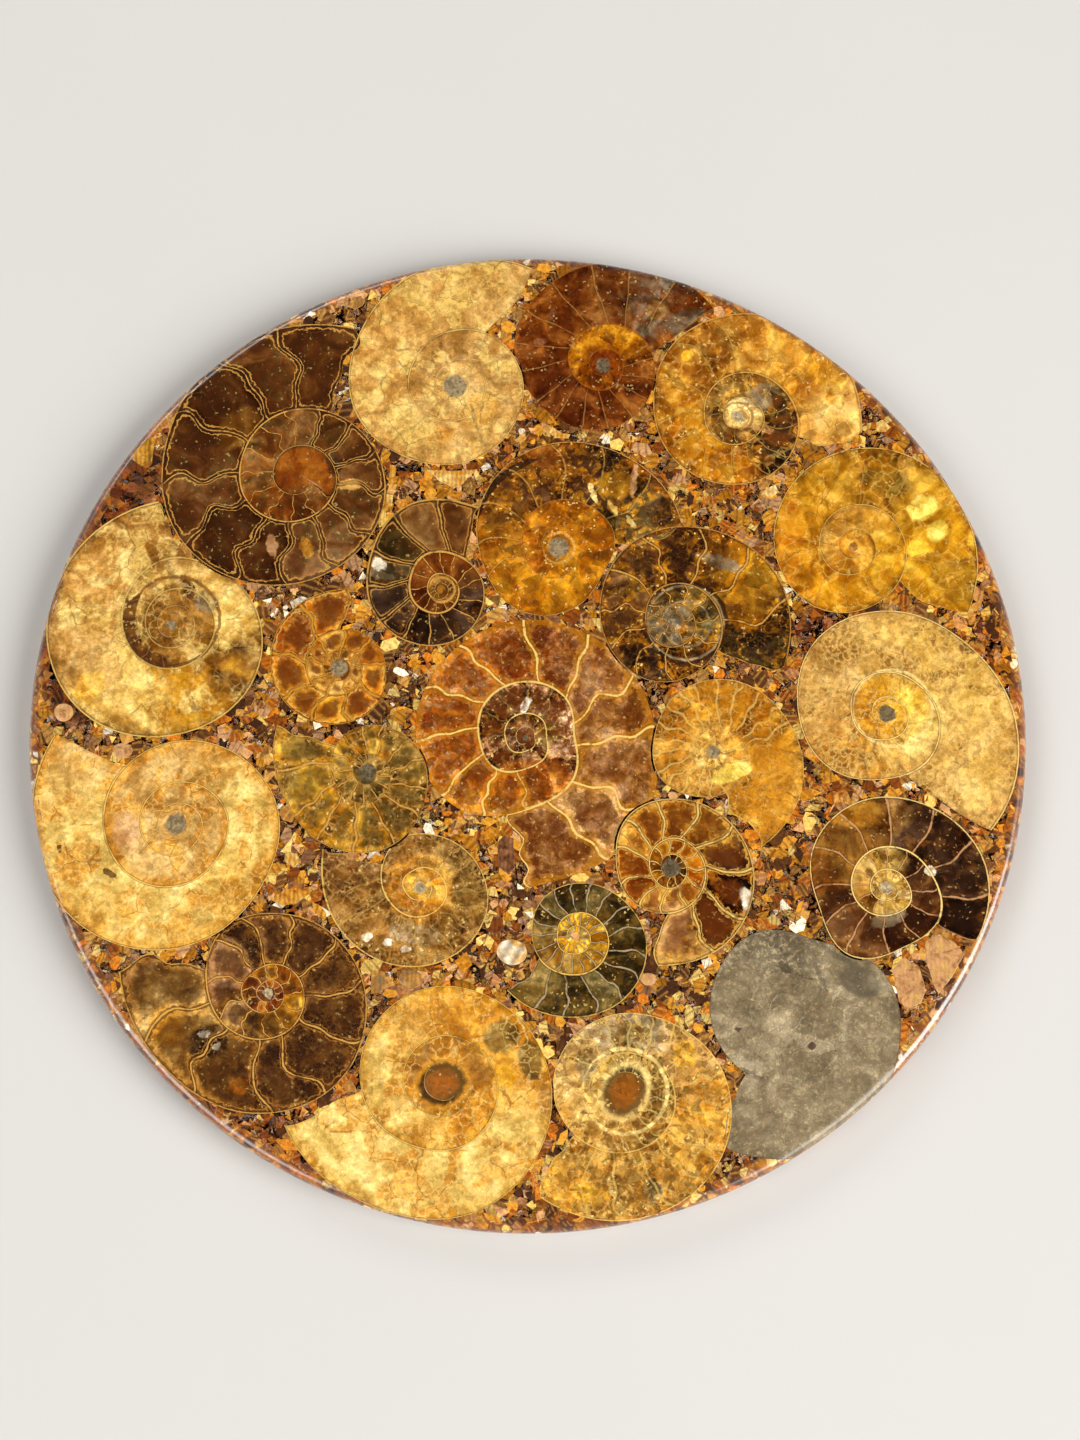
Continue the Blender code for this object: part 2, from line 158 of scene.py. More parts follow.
SHELLS = {
    "dark_chambered_right": coiled(
        slot="dark_brown", centre=(70.7, -33.3), mouth=330, core=1.3,
        radii=(20.4, 20.3, 18.8, 18.0, 16.4, 13.9, 15.4, 12.2),
        inner=(11.9, 9.5, 8.6, 8.0, 7.2, 6.6, 5.9, 5.4), septa=12, slant=-5, curl=2.0, bow=-4,
        ages=((0.0, DARK_BROWN), (0.28, DARK_BROWN), (0.36, TAN), (0.52, OCHRE), (0.62, UMBER),
            (1.0, UMBER), (1.25, DARK_BROWN), (1.33, CREAM), (1.6, SAND), (1.74, OCHRE), (1.85, CREAM)),
        second=(BROWN, 0.35), line=(PINK_BEIGE, 0.3, 0.8), whorl_line=0.32, whorl_tone=PALE_CREAM,
        heart=(DARK_BROWN, 0.35), grain=0.22, crystal=(0.2, 1.6), lively=1.1, dot=1.4,
        dot_tone=GREY_BEIGE, spots=((63, -17, 8, 4, -20, HONEY, 0.5), (57, -30, 3.5, 5, 0, RUST, 0.5),
            (71, -39.5, 4, 1.6, 20, GREY_BEIGE, 0.5), (79.5, -30, 1.4, 1, 0, IVORY, 0.9))),
    "small_chambered": coiled(
        slot="amber_brown", centre=(28.3, -29.3), mouth=262, core=1.7,
        radii=(19.6, 18.4, 16.6, 15.0, 14.0, 13.4, 11.0, 10.3),
        inner=(9.2, 8.0, 6.9, 6.2, 6.0, 5.2, 4.3, 4.0), septa=11, slant=4, curl=1.5, bow=-6, wave=0.8,
        ages=((0.0, BEIGE), (0.15, UMBER), (0.3, DARK_BROWN), (0.4, OCHRE), (0.8, AMBER), (1.0, BROWN),
            (1.25, ORANGE), (1.6, GOLD), (2.0, BROWN)), second=(HONEY, 0.45), line=(STRAW, 0.34, 0.85),
        whorl_line=0.27, heart=(RED_BROWN, 0.65), loop=(0.62, 0.26, SAND, 0.75, 1.6), gap=(OCHRE, 0.6),
        uneven=2.2, grain=0.25, crystal=(0.22, 1.3), lively=1.2, dot=2.0, dot_tone=DARK_GREY,
        spots=((28, -41, 3.6, 5.4, -20, PINK_BEIGE, 0.55), (36.5, -40.5, 4, 4.6, 10, UMBER, 0.75),
            (43.5, -36, 1.6, 3.2, 20, IVORY, 0.9), (40, -28, 4.6, 2.8, 0, DARK_BROWN, 0.7))),
    "grey_green": coiled(
        slot="grey_green", centre=(9.3, -43.0), mouth=218,
        radii=(17.0, 15.9, 15.5, 14.2, 12.0, 10.8, 9.9, 8.6),
        inner=(8.1, 7.5, 7.3, 6.6, 5.6, 4.8, 4.2, 3.5), septa=17, slant=-8, curl=1.4, bow=5, wave=1.5,
        ages=((0.0, OLIVE), (0.1, DARK_OLIVE), (0.8, DARK_OLIVE), (1.0, OCHRE), (1.4, MUSTARD),
            (1.7, YELLOW)), second=(OLIVE, 0.45), line=(GREY_BEIGE, 0.28, 0.95), whorl_line=0.28,
        whorl_tone=CREAM, heart=(BLACK_BROWN, 0.35), grain=0.4, crystal=(0.3, 1.1), lively=1.2, dot=0.9,
        dot_tone=PINK_BEIGE),
    "sutured_brown": coiled(
        slot="dark_brown", centre=(-46.9, 52.3), mouth=72, growth=2.32, core=5.6,
        radii=(33.5, 31.0, 28.4, 27.8, 24.8, 21.3, 18.6, 16.0), slant=-6, bow=-2, wave=3.0,
        ages=((0.0, BROWN), (0.5, UMBER), (0.95, BROWN), (1.05, BROWN), (1.5, RUST), (1.8, BROWN)),
        second=(DARK_OLIVE, 0.35), core_tone=AMBER, line=(SAND, 0.19, 0.85), whorl_line=0.32,
        whorl_tone=SAND, edge=0.3, heart=(UMBER, 0.35), loop=(1.0, 0.19, BEIGE, 0.9, 1.0),
        gap=(DARK_BROWN, 0.6), uneven=1.5, grain=0.18, crystal=(0.18, 1.4), lively=1.3,
        spots=((-59.5, 62, 6, 4, 40, OCHRE, 0.55), (-52, 37, 1.3, 2.6, 10, PINK_BEIGE, 0.8),
            (-45, 36.5, 1.5, 2.6, 20, HONEY, 0.75), (-36.5, 50, 2.4, 1.4, 0, SAND, 0.85),
            (-39.5, 54.5, 2, 3, 0, BLACK_BROWN, 0.8), (-46.5, 47.5, 4.6, 2.6, 0, BROWN, 0.7),
            (-58, 41.5, 0.8, 0.7, 0, BLACK_BROWN, 1.0))),
    "cream_top": coiled(
        slot="cream", centre=(-15.0, 71.2), mouth=58, growth=2.28, core=2.5,
        radii=(30.5, 27.0, 23.2, 21.4, 18.3, 16.4, 14.7, 14.0), septa=15, body=120, slant=4, bow=-3,
        ages=((0.0, FAWN), (0.3, BEIGE), (0.7, FAWN), (1.1, TAN), (1.6, FAWN)), second=(STRAW, 0.45),
        patch=0.16, rind=(BEIGE, 3.5, 0.6), line=(TAN, 0.35, 0.18), whorl_line=0.3, whorl_tone=CREAM,
        inner_ring=0.8, heart=(HONEY, 0.1), net=(1.1, 0.08, STRAW, 0.4), grain=0.7, crystal=(0.22, 0.9),
        lively=0.9, dot=2.6, spots=((-18, 60.5, 3.6, 1.8, 20, HONEY, 0.6),
            (-10, 66, 5, 3.4, 40, HONEY, 0.5))),
    "red_brown_top": coiled(
        slot="red_brown", centre=(15.5, 75.8), mouth=28, growth=2.55, core=1.6,
        radii=(26.4, 23.8, 21.2, 19.0, 15.8, 14.5, 12.9, 11.1), septa=16, slant=-14, bow=4, wave=0.6,
        ages=((0.0, RUST), (0.06, DARK_GREY), (0.14, BROWN), (0.3, RUST), (0.5, RED_BROWN), (0.95, RUST),
            (1.02, GOLD), (2.0, AMBER)), second=(RED_BROWN, 0.45), line=(BEIGE, 0.26, 0.4),
        line_reach=1.0, whorl_line=0.15, whorl_tone=ORANGE, inner_ring=0.8, heart=(RED_BROWN, 0.25),
        grain=0.25, crystal=(0.2, 0.8), dot=1.7, dot_tone=DARK_GREY,
        spots=((33, 85.5, 5, 3, 20, DARK_GREY, 0.8), (27, 88, 2.6, 2.2, 20, TAN, 0.7),
            (2.6, 81, 1.6, 1, 20, ROSE_BROWN, 0.5), (5, 87, 1.4, 0.9, 60, ROSE_BROWN, 0.5))),
    "dark_ringed": coiled(
        slot="dark_brown", centre=(-17.7, 27.7), mouth=66, growth=2.4, core=1.4,
        radii=(19.0, 19.2, 15.9, 14.3, 12.5, 11.0, 9.4, 8.6), slant=-14, curl=0.9, bow=6, wave=0.8,
        ages=((0.0, BROWN), (0.1, BROWN), (0.2, DARK_OLIVE), (0.32, BLACK_BROWN), (0.8, DARK_BROWN),
            (1.0, RUST), (1.4, RED_BROWN), (1.9, OCHRE)), second=(BROWN, 0.25), line=(SAND, 0.24, 0.75),
        whorl_line=0.48, whorl_tone=SAND, heart=(DARK_BROWN, 0.3), loop=(0.75, 0.16, BEIGE, 0.7, 0.42),
        gap=(DARK_BROWN, 0.6), grain=0.2, crystal=(0.16, 1.2), lively=1.1, dot=0.9, dot_tone=OCHRE,
        arcs=((-17.5, 27.6, 2.6, 0.25, -180, 180, SAND, 0.7),),
        spots=((-30.3, 33, 1.7, 1.5, 0, IVORY, 0.95), (-31, 31, 4.6, 1, -12, WARM_GREY, 0.7))),
    "golden_upper_centre": coiled(
        slot="golden_brown", centre=(6.3, 36.5), mouth=12, core=2.2,
        radii=(25.6, 23.9, 21.9, 18.7, 15.8, 15.5, 13.2, 10.5), slant=-8, bow=-5, wave=0.8,
        ages=((0.0, DARK_OLIVE), (0.15, DARK_BROWN), (0.3, UMBER), (0.42, OCHRE), (0.55, GOLD),
            (1.0, GOLD), (1.5, AMBER), (2.0, GOLD)), second=(GOLD, 0.45), rind=(AMBER, 2.5, 0.5),
        line=(SAND, 0.3, 0.45), line_reach=0.55, whorl_line=0.21, inner_ring=0.3, heart=(UMBER, 0.35),
        net=(1.5, 0.05, HONEY, 0.25), crystal=(0.34, 1.7), lively=1.3, dot=2.3,
        arcs=((6.3, 38.5, 17.5, 0.8, 100, 178, BLACK_BROWN, 0.9),
            (6.3, 36.5, 3.2, 0.3, -180, 180, SAND, 0.7)), spots=((4, 56, 4.6, 3, -20, RUST, 0.8),
            (16, 57, 5, 3, -10, BLACK_BROWN, 0.8), (18, 50, 4, 3.4, 0, MUSTARD, 0.6),
            (27, 44, 3, 3.4, 0, BLACK_BROWN, 0.8), (9, 30, 7.5, 5, 0, GOLD, 0.5),
            (13.5, 48, 0.6, 2.6, 20, STRAW, 0.85), (17.3, 45, 0.6, 2.2, 30, STRAW, 0.85),
            (21.2, 42, 0.6, 1.9, 40, STRAW, 0.85), (21.8, 51, 0.7, 3.8, -8, PINK_BEIGE, 0.9))),
    "mottled_centre_right": coiled(
        slot="golden_cream", centre=(37.0, -5.9), mouth=295, growth=2.52, core=1.5,
        radii=(21.4, 18.9, 16.3, 15.4, 14.0, 12.2, 11.9, 9.7), septa=22, body=85, bow=2, wave=3.0,
        ages=((0.0, HONEY), (0.3, GOLD), (0.6, HONEY), (0.95, SAND), (1.2, HONEY), (2.0, CREAM)),
        second=(OCHRE, 0.45), rind=(OCHRE, 2.5, 0.5), line=(CREAM, 0.45, 0.5), line_reach=1.0,
        whorl_line=0.19, inner_ring=0.25, edge=0.3, heart=(GOLD, 0.45), net=(1.5, 0.06, CREAM, 0.3),
        grain=0.7, crystal=(0.2, 1.0), lively=1.2, dot=1.5,
        spots=((40.6, -10.2, 4.8, 1.9, 22, BUTTER, 0.9),)),
    "cream_right": coiled(
        slot="cream", centre=(72.0, 2.0), mouth=310, growth=2.5, core=1.9,
        radii=(31.0, 26.0, 22.0, 21.3, 20.6, 18.0, 16.5, 13.6), septa=14, body=200, slant=-25, bow=3,
        wave=1.5, ages=((0.0, FAWN), (0.25, CREAM), (0.6, FAWN), (0.85, HONEY), (1.0, STRAW),
            (1.3, BUTTER), (1.5, GOLD), (1.7, HONEY)), second=(TAN, 0.42), patch=0.16,
        rind=(BEIGE, 3.5, 0.7), line=(TAN, 0.3, 0.22), whorl_line=0.3, whorl_tone=PALE_CREAM,
        heart=(HONEY, 0.1), net=(1.3, 0.08, STRAW, 0.45), grain=0.75, crystal=(0.2, 0.9), lively=1.1,
        dot=1.9, dot_tone=DARK_GREY, arcs=((73.2, 3, 7.9, 0.3, -180, 180, PALE_CREAM, 0.8),),
        spots=((73.2, 3, 7.6, 7.4, 0, YELLOW, 0.55), (68.8, 3.4, 2.4, 4.6, 12, GOLD, 0.8),
            (62, 14, 6, 4.6, 30, TAN, 0.5), (89, 15.6, 2.2, 1.5, 0, BROWN, 0.8),
            (90, -12, 4, 7, -15, CREAM, 0.6))),
    "yellow_right": coiled(
        slot="yellow", centre=(66.3, 36.7), mouth=329, growth=2.35, core=1.2,
        radii=(26.7, 24.4, 22.8, 19.9, 17.2, 15.8, 15.0, 13.0), septa=12, slant=-8, bow=-4, wave=0.8,
        ages=((0.0, MUSTARD), (0.12, YELLOW), (0.28, OCHRE), (0.45, MUSTARD), (0.6, GOLD), (0.8, GOLD),
            (0.95, MUSTARD), (1.05, YELLOW), (1.4, SAND), (2.0, HONEY)), second=(HONEY, 0.4), patch=0.2,
        rind=(OCHRE, 2.5, 0.6), line=(SAND, 0.3, 0.25), whorl_line=0.22, whorl_tone=CREAM, inner_ring=0.7,
        heart=(MUSTARD, 0.2), net=(2.4, 0.04, BUTTER, 0.22), grain=0.3, crystal=(0.18, 2.4), dot=1.2,
        dot_tone=TAN, spots=((80.5, 45, 3.6, 2.6, 30, BUTTER, 0.9), (83.5, 40, 2.8, 2.2, 60, BUTTER, 0.9),
            (79, 36.5, 3, 1.8, 10, YELLOW, 0.9), (73.5, 50.5, 6, 3.2, -15, OLIVE, 0.6),
            (53.5, 38, 3, 10, -6, ORANGE, 0.5), (86, 30, 5, 5.6, 0, OCHRE, 0.6))),
    "amber_upper_right": coiled(
        slot="golden_brown", centre=(43.3, 64.7), mouth=352, growth=2.3,
        radii=(25.7, 25.0, 22.8, 20.8, 17.6, 16.2, 14.9, 14.0),
        inner=(12.6, 11.0, 9.7, 8.2, 7.0, 6.8, 6.2, 5.6), slant=-12, bow=-4, wave=1.4, ages=((0.0, SAND),
            (0.15, HONEY), (0.35, OCHRE), (0.6, GOLD), (0.82, GOLD), (0.88, DARK_BROWN), (1.0, UMBER),
            (1.15, OLIVE), (1.6, OLIVE), (1.78, BROWN), (1.95, PALE_CREAM)), second=(HONEY, 0.4),
        rind=(AMBER, 3.0, 0.5), line=(SAND, 0.3, 0.4), whorl_line=0.34, inner_ring=0.9,
        heart=(AMBER, 0.3), net=(2.1, 0.05, CREAM, 0.35), grain=0.4, crystal=(0.36, 2.4), dot=1.4,
        dot_tone=GREY_BEIGE, arcs=((44.5, 64.2, 8.2, 1.4, -80, 50, DARK_BROWN, 0.85),
            (44, 64.4, 5.4, 0.9, 150, 290, DARK_BROWN, 0.7),
            (43.2, 64.6, 3.1, 0.3, -180, 180, BROWN, 0.7)),
        spots=((51.6, 55, 4, 4.2, -20, BLACK_BROWN, 0.95), (50, 60.6, 6.4, 0.9, -14, DARK_BROWN, 0.85),
            (48, 62, 4.6, 0.7, -14, PINK_BEIGE, 0.7), (48.5, 69, 3.6, 3, 20, WARM_GREY, 0.8),
            (33, 78, 1.6, 1.2, 40, YELLOW, 0.9), (63.5, 64, 4.8, 3.8, 20, CREAM, 0.8),
            (62, 74, 3.6, 5, 40, YELLOW, 0.5))),
    "large_cream_left": coiled(
        slot="cream", centre=(-69.7, -20.5), mouth=143, growth=2.0, core=2.2,
        radii=(30.8, 28.5, 27.0, 24.4, 21.3, 20.3, 18.2, 16.6), septa=14, body=180, bow=3,
        ages=((0.0, FAWN), (0.12, STRAW), (0.4, STRAW), (0.5, CREAM), (0.65, STRAW), (0.85, FAWN),
            (1.2, FAWN)), second=(HONEY, 0.4), patch=0.16, rind=(HONEY, 4.0, 0.75), line=(TAN, 0.3, 0.15),
        whorl_line=0.26, whorl_tone=CREAM, outer_ring=1.0, heart=(SAND, 0.1),
        net=(2.2, 0.04, PALE_CREAM, 0.3), crystal=(0.18, 0.7), lively=1.2, dot=2.3,
        spots=((-83, -37, 6, 4, -40, MUSTARD, 0.5), (-57, -34, 4, 6, -20, MUSTARD, 0.45),
            (-62, -8, 5, 3, -30, HONEY, 0.4), (-79.5, -22, 2.8, 4.6, 8, PINK_BEIGE, 0.7),
            (-66, -42.5, 12, 3, 8, MUSTARD, 0.4), (-92.6, -25.4, 0.8, 0.5, 40, DARK_BROWN, 0.9),
            (-82.5, -30.4, 1.9, 0.6, -30, UMBER, 0.9))),
    "brown_lower_left": coiled(
        slot="amber_brown", centre=(-50.7, -54.0), mouth=172, growth=2.3, core=1.2,
        radii=(29.6, 24.6, 23.5, 22.4, 19.5, 17.2, 15.8, 15.5),
        inner=(12.2, 10.4, 9.1, 8.2, 7.1, 6.4, 5.7, 5.0), septa=11, slant=-12, curl=1.2, bow=-5, wave=3.0,
        ages=((0.0, BROWN), (0.08, SAND), (0.18, OCHRE), (0.26, BROWN), (0.9, UMBER), (0.98, PINK_BEIGE),
            (1.08, BROWN), (1.25, DARK_BROWN), (1.5, GOLD), (2.0, AMBER)), second=(OCHRE, 0.35),
        line=(SAND, 0.34, 0.9), whorl_line=0.32, heart=(DARK_BROWN, 0.6),
        loop=(0.85, 0.2, BEIGE, 0.45, 0.95), gap=(UMBER, 0.6), uneven=2.4, net=(1.0, 0.07, TAN, 0.4),
        grain=0.3, crystal=(0.24, 1.2), dot=1.1, dot_tone=GREY_BEIGE,
        spots=((-58.5, -48, 4.6, 5.2, 20, PINK_BEIGE, 0.6), (-62, -63.5, 4.6, 3.6, 20, BLACK_BROWN, 0.95),
            (-63, -62, 1.2, 0.8, 20, IVORY, 0.8), (-60.5, -64.4, 0.9, 0.7, 20, IVORY, 0.8),
            (-70.5, -60.5, 3.6, 4.6, 20, HONEY, 0.8), (-56, -72, 2.2, 1.8, 0, ORANGE, 0.8))),
    "olive_left": coiled(
        slot="olive", centre=(-32.0, -10.0), mouth=152, growth=2.56, core=2.0,
        radii=(20.5, 17.3, 16.8, 15.8, 13.0, 11.4, 10.1, 9.2), slant=-12, bow=4, wave=2.0,
        ages=((0.0, MUSTARD), (0.3, MUSTARD), (0.6, OLIVE), (0.9, MUSTARD), (1.3, OLIVE),
            (2.0, DARK_OLIVE)), second=(OLIVE, 0.5), line=(SAND, 0.34, 0.75), whorl_line=0.19,
        inner_ring=0.5, heart=(DARK_OLIVE, 0.6), net=(1.7, 0.08, SAND, 0.45), crystal=(0.34, 1.2),
        dot=1.8, dot_tone=DARK_GREY, spots=((-44.5, -4, 4, 4.6, 20, DARK_OLIVE, 0.6),
            (-33, -9, 2, 3, 0, DARK_BROWN, 0.6), (-28.5, -6.5, 1.6, 1.2, 0, HONEY, 0.8))),
    "cream_bottom": coiled(
        slot="cream", centre=(-16.0, -71.7), mouth=194, growth=2.03, core=4.0,
        radii=(32.0, 27.0, 25.0, 22.1, 20.0, 19.0, 19.0, 17.7), septa=12, body=170, bow=3,
        ages=((0.0, STRAW), (0.35, STRAW), (0.5, HONEY), (0.7, HONEY), (0.95, STRAW), (1.3, HONEY),
            (1.7, TAN)), second=(HONEY, 0.45), patch=0.16, rind=(MUSTARD, 3.5, 0.6),
        line=(TAN, 0.3, 0.15), whorl_line=0.22, whorl_tone=CREAM, inner_ring=0.8, heart=(SAND, 0.1),
        net=(2.2, 0.04, PALE_CREAM, 0.35), crystal=(0.2, 0.8), lively=1.1,
        hole=((-16.6, -71.6), (4.9, 4.2), 20, HONEY), spots=((-5, -62.5, 4, 3.4, 30, DARK_OLIVE, 0.8),
            (0.5, -67, 2.6, 4.4, 10, DARK_OLIVE, 0.8), (-4.4, -70, 2.4, 2.6, 0, YELLOW, 0.8),
            (3.2, -74.5, 1.5, 3.6, 5, TAN, 0.7), (-22, -82.5, 1, 3.4, 5, HONEY, 0.6))),
    "grey_pyrite": coiled(
        slot="pyrite_grey", centre=(50.7, -58.0), mouth=245, growth=2.04, core=1.2,
        radii=(28.8, 27.0, 23.0, 20.8, 15.6, 16.9, 15.6, 14.8), septa=16, body=200, bow=-3, wave=0.5,
        ages=((0.0, WARM_GREY), (0.45, WARM_GREY), (0.6, DARK_GREY), (0.75, WARM_GREY), (1.1, WARM_GREY)),
        second=(GREY_BEIGE, 0.35), patch=1.1, line=(DARK_GREY, 0.2, 0.15), whorl_line=0.15,
        inner_ring=0.1, edge=0.3, heart=(GREY_BEIGE, 0.1), grain=0.8, crystal=(0.1, 1.0), lively=0.8,
        dull=0.5, dot=0.7, dot_tone=GREY_BEIGE, spots=((65.0, -51.8, 4.4, 3.2, -20, DARK_GREY, 0.95),
            (57.2, -50.5, 0.5, 3.6, 24, DARK_GREY, 0.95), (60.2, -54.5, 0.35, 2.6, -30, GREY_BEIGE, 0.9),
            (55.2, -64.3, 0.9, 0.8, 0, DARK_BROWN, 0.9), (41, -61, 0.7, 0.5, 0, DARK_BROWN, 0.9),
            (43.5, -69.6, 2.6, 0.4, -24, DARK_GREY, 0.9), (62, -47.5, 6, 0.6, -30, DARK_GREY, 0.8),
            (49.5, -59.5, 3.4, 3.0, 0, GREY_BEIGE, 0.35))),
    "open_centre": coiled(
        slot="golden_cream", centre=(18.5, -72.8), mouth=232, growth=2.08, core=4.6,
        radii=(26.0, 24.6, 23.0, 20.0, 16.2, 14.7, 14.0, 13.5), septa=18, bow=-3, wave=2.0,
        ages=((0.0, HONEY), (0.1, OCHRE), (0.35, HONEY), (0.6, GREY_BEIGE), (0.9, SAND), (1.2, OCHRE),
            (1.5, OLIVE), (1.9, CREAM)), second=(OCHRE, 0.45), line=(CREAM, 0.4, 0.45), whorl_line=0.26,
        whorl_tone=CREAM, inner_ring=0.8, edge=0.2, heart=(OCHRE, 0.4), net=(1.3, 0.1, STRAW, 0.45),
        grain=0.75, crystal=(0.45, 1.1), lively=1.3, hole=((18.8, -73), (4.1, 5.2), -28, PALE_CREAM),
        arcs=((18.8, -73, 8.2, 0.35, -180, 180, PALE_CREAM, 0.8),),
        spots=((20, -63, 4, 2.6, 0, DARK_OLIVE, 0.7), (11.5, -68, 2.4, 3.6, 0, WARM_GREY, 0.7),
            (30.5, -66, 2.4, 3.4, 0, YELLOW, 0.7), (31, -79, 4, 3.4, 0, HONEY, 0.8),
            (24, -92, 2, 2.4, 0, DARK_GREY, 0.8), (12, -92.5, 4, 1.8, -10, YELLOW, 0.8))),
    "double_ringed_left": coiled(
        slot="cream", centre=(-72.0, 20.3), mouth=95, growth=1.9, core=1.6,
        radii=(26.4, 25.3, 25.3, 25.0, 22.8, 20.8, 17.8, 15.0),
        inner=(13.9, 11.4, 9.8, 9.3, 9.1, 8.9, 8.8, 8.4), slant=-15, bow=4, wave=2.0, ages=((0.0, TAN),
            (0.15, BEIGE), (0.3, FAWN), (0.42, CREAM), (0.5, MUSTARD), (0.6, MUSTARD), (0.67, BROWN),
            (0.75, CREAM), (1.0, FAWN), (1.15, TAN), (1.6, OCHRE), (2.2, TAN)), second=(STRAW, 0.4),
        patch=0.16, rind=(OCHRE, 3.5, 0.6), line=(BEIGE, 0.3, 0.25), whorl_line=0.38, whorl_tone=CREAM,
        inner_ring=0.5, heart=(HONEY, 0.15), net=(2.0, 0.05, PALE_CREAM, 0.3), crystal=(0.22, 0.7),
        lively=1.3, dot=1.2, arcs=((-71.5, 21.2, 9.2, 0.35, -180, 180, BROWN, 0.8),
            (-71.8, 21.0, 8.9, 1.2, 130, 285, UMBER, 0.95)), spots=((-71.5, 21, 7.6, 7.8, 10, OCHRE, 0.7),
            (-79.6, 20, 1.1, 7, 14, UMBER, 0.95), (-74.5, 13.4, 5.4, 1.1, -20, UMBER, 0.95),
            (-68.5, 27.5, 1.2, 4.4, 28, UMBER, 0.95), (-65, 25.2, 2.6, 2.6, 0, WARM_GREY, 0.7),
            (-60.5, 8.5, 5, 2.6, -10, UMBER, 0.8), (-88, 7.5, 4, 3, 40, YELLOW, 0.5))),
    "golden_centre_left": coiled(
        slot="golden_brown", centre=(-21.3, -33.2), mouth=158, growth=2.3, core=1.4,
        radii=(20.8, 18.0, 16.3, 15.2, 14.2, 12.3, 11.0, 10.5),
        inner=(8.2, 6.6, 6.0, 5.7, 5.5, 4.8, 4.2, 3.6), septa=16, bow=4, wave=3.0, ages=((0.0, UMBER),
            (0.08, TAN), (0.35, OCHRE), (0.6, OLIVE), (0.85, TAN), (0.97, TAN), (1.03, HONEY),
            (1.5, GOLD), (1.9, YELLOW)), second=(OLIVE, 0.45), rind=(UMBER, 3.0, 0.5),
        line=(SAND, 0.35, 0.35), line_reach=0.8, whorl_line=0.4, whorl_tone=CREAM, edge=0.3,
        heart=(OCHRE, 0.3), net=(1.2, 0.12, FAWN, 0.45), grain=0.9, crystal=(0.34, 1.2), lively=1.7,
        dot=1.2, dot_tone=GREY_BEIGE, spots=((-21.3, -33.2, 7.4, 7.2, 0, HONEY, 0.65),
            (-24, -45.5, 1.3, 0.7, 0, IVORY, 0.9), (-27.5, -44, 1, 0.8, 0, IVORY, 0.9),
            (-31.5, -43, 1.3, 1, 20, IVORY, 0.9), (-22, -42.5, 6, 2.2, -8, GREY_BEIGE, 0.6),
            (-37.5, -30.5, 4.6, 4.4, 0, BROWN, 0.7), (-11, -42, 3, 3.6, 0, BROWN, 0.6))),
    "orange_left": coiled(
        slot="orange", centre=(-38.0, 11.3), mouth=84, growth=2.09, core=1.8,
        radii=(16.7, 15.5, 13.9, 12.7, 11.7, 11.0, 9.6, 9.0), septa=9, slant=4, bow=-4, wave=1.8,
        ages=((0.0, AMBER), (0.1, ORANGE), (0.45, GOLD), (0.65, ORANGE), (0.95, HONEY), (1.5, SAND),
            (2.0, TAN)), second=(GOLD, 0.4), line=(HONEY, 0.42, 0.85), whorl_line=0.22, inner_ring=0.9,
        heart=(RED_BROWN, 0.85), loop=(0.55, 0.26, CREAM, 0.5, 0.75), gap=(RED_BROWN, 0.6), uneven=2.2,
        net=(1.6, 0.12, SAND, 0.35), grain=0.4, crystal=(0.3, 1.6), lively=1.4, dot=1.9,
        spots=((-49.5, 12.5, 3, 3.4, 0, ORANGE, 0.7), (-40, 24, 1.6, 3, 0, BROWN, 0.6),
            (-38.5, -1.5, 2, 1.6, 0, RED_BROWN, 0.6))),
    "brown_upper_centre": coiled(
        slot="amber_brown", centre=(29.3, 21.0), mouth=338, core=0.9,
        radii=(24.3, 23.5, 21.0, 18.7, 15.6, 13.9, 13.2, 11.6),
        inner=(10.4, 9.4, 8.4, 7.3, 5.8, 5.3, 5.4, 5.2), septa=11, bow=-5, wave=2.4,
        ages=((0.0, DARK_OLIVE), (0.08, DARK_BROWN), (0.15, GOLD), (0.27, UMBER), (0.6, BROWN),
            (0.75, DARK_BROWN), (0.95, UMBER), (1.02, DARK_OLIVE), (1.4, OLIVE), (1.7, WARM_GREY)),
        second=(GOLD, 0.35), line=(SAND, 0.32, 0.8), whorl_line=0.3, whorl_tone=BEIGE, inner_ring=0.9,
        edge=0.9, heart=(BLACK_BROWN, 0.5), uneven=2.4, net=(1.7, 0.05, HONEY, 0.3), grain=0.42,
        crystal=(0.42, 2.2), lively=1.4, dot=0.8,
        arcs=((31.8, 20.8, 8.4, 0.4, -180, 180, DARK_BROWN, 0.9),
            (31.8, 20.8, 7.7, 0.25, -180, 180, GREY_BEIGE, 0.7),
            (32, 20.5, 4.8, 0.2, -180, 180, GREY_BEIGE, 0.6)), spots=((44, 23, 4, 4.6, 10, GOLD, 0.8),
            (41, 30, 3.8, 2, -10, GOLD, 0.8), (39, 33.5, 5, 1.5, -20, WARM_GREY, 0.7),
            (47.5, 15, 3, 2.6, 0, BLACK_BROWN, 0.8), (28, 21.5, 3.6, 3.6, 0, WARM_GREY, 0.6),
            (26, 8.5, 3.6, 2.2, 0, DARK_BROWN, 0.6))),
    "red_centre": coiled(
        slot="orange", centre=(-0.5, -3.0), mouth=272, growth=2.3,
        radii=(30.3, 29.5, 26.2, 25.0, 24.3, 22.8, 21.8, 19.6),
        inner=(14.5, 12.8, 9.8, 11.5, 11.5, 10.8, 9.2, 8.6), septa=12, slant=-14, curl=3.0, bow=-3,
        wave=2.6, ages=((0.0, TAN), (0.3, BEIGE), (0.45, AMBER), (0.6, ORANGE), (0.8, ORANGE),
            (0.95, GOLD), (1.05, RUST), (1.2, RED_BROWN), (1.6, UMBER)), second=(PINK_BEIGE, 0.52),
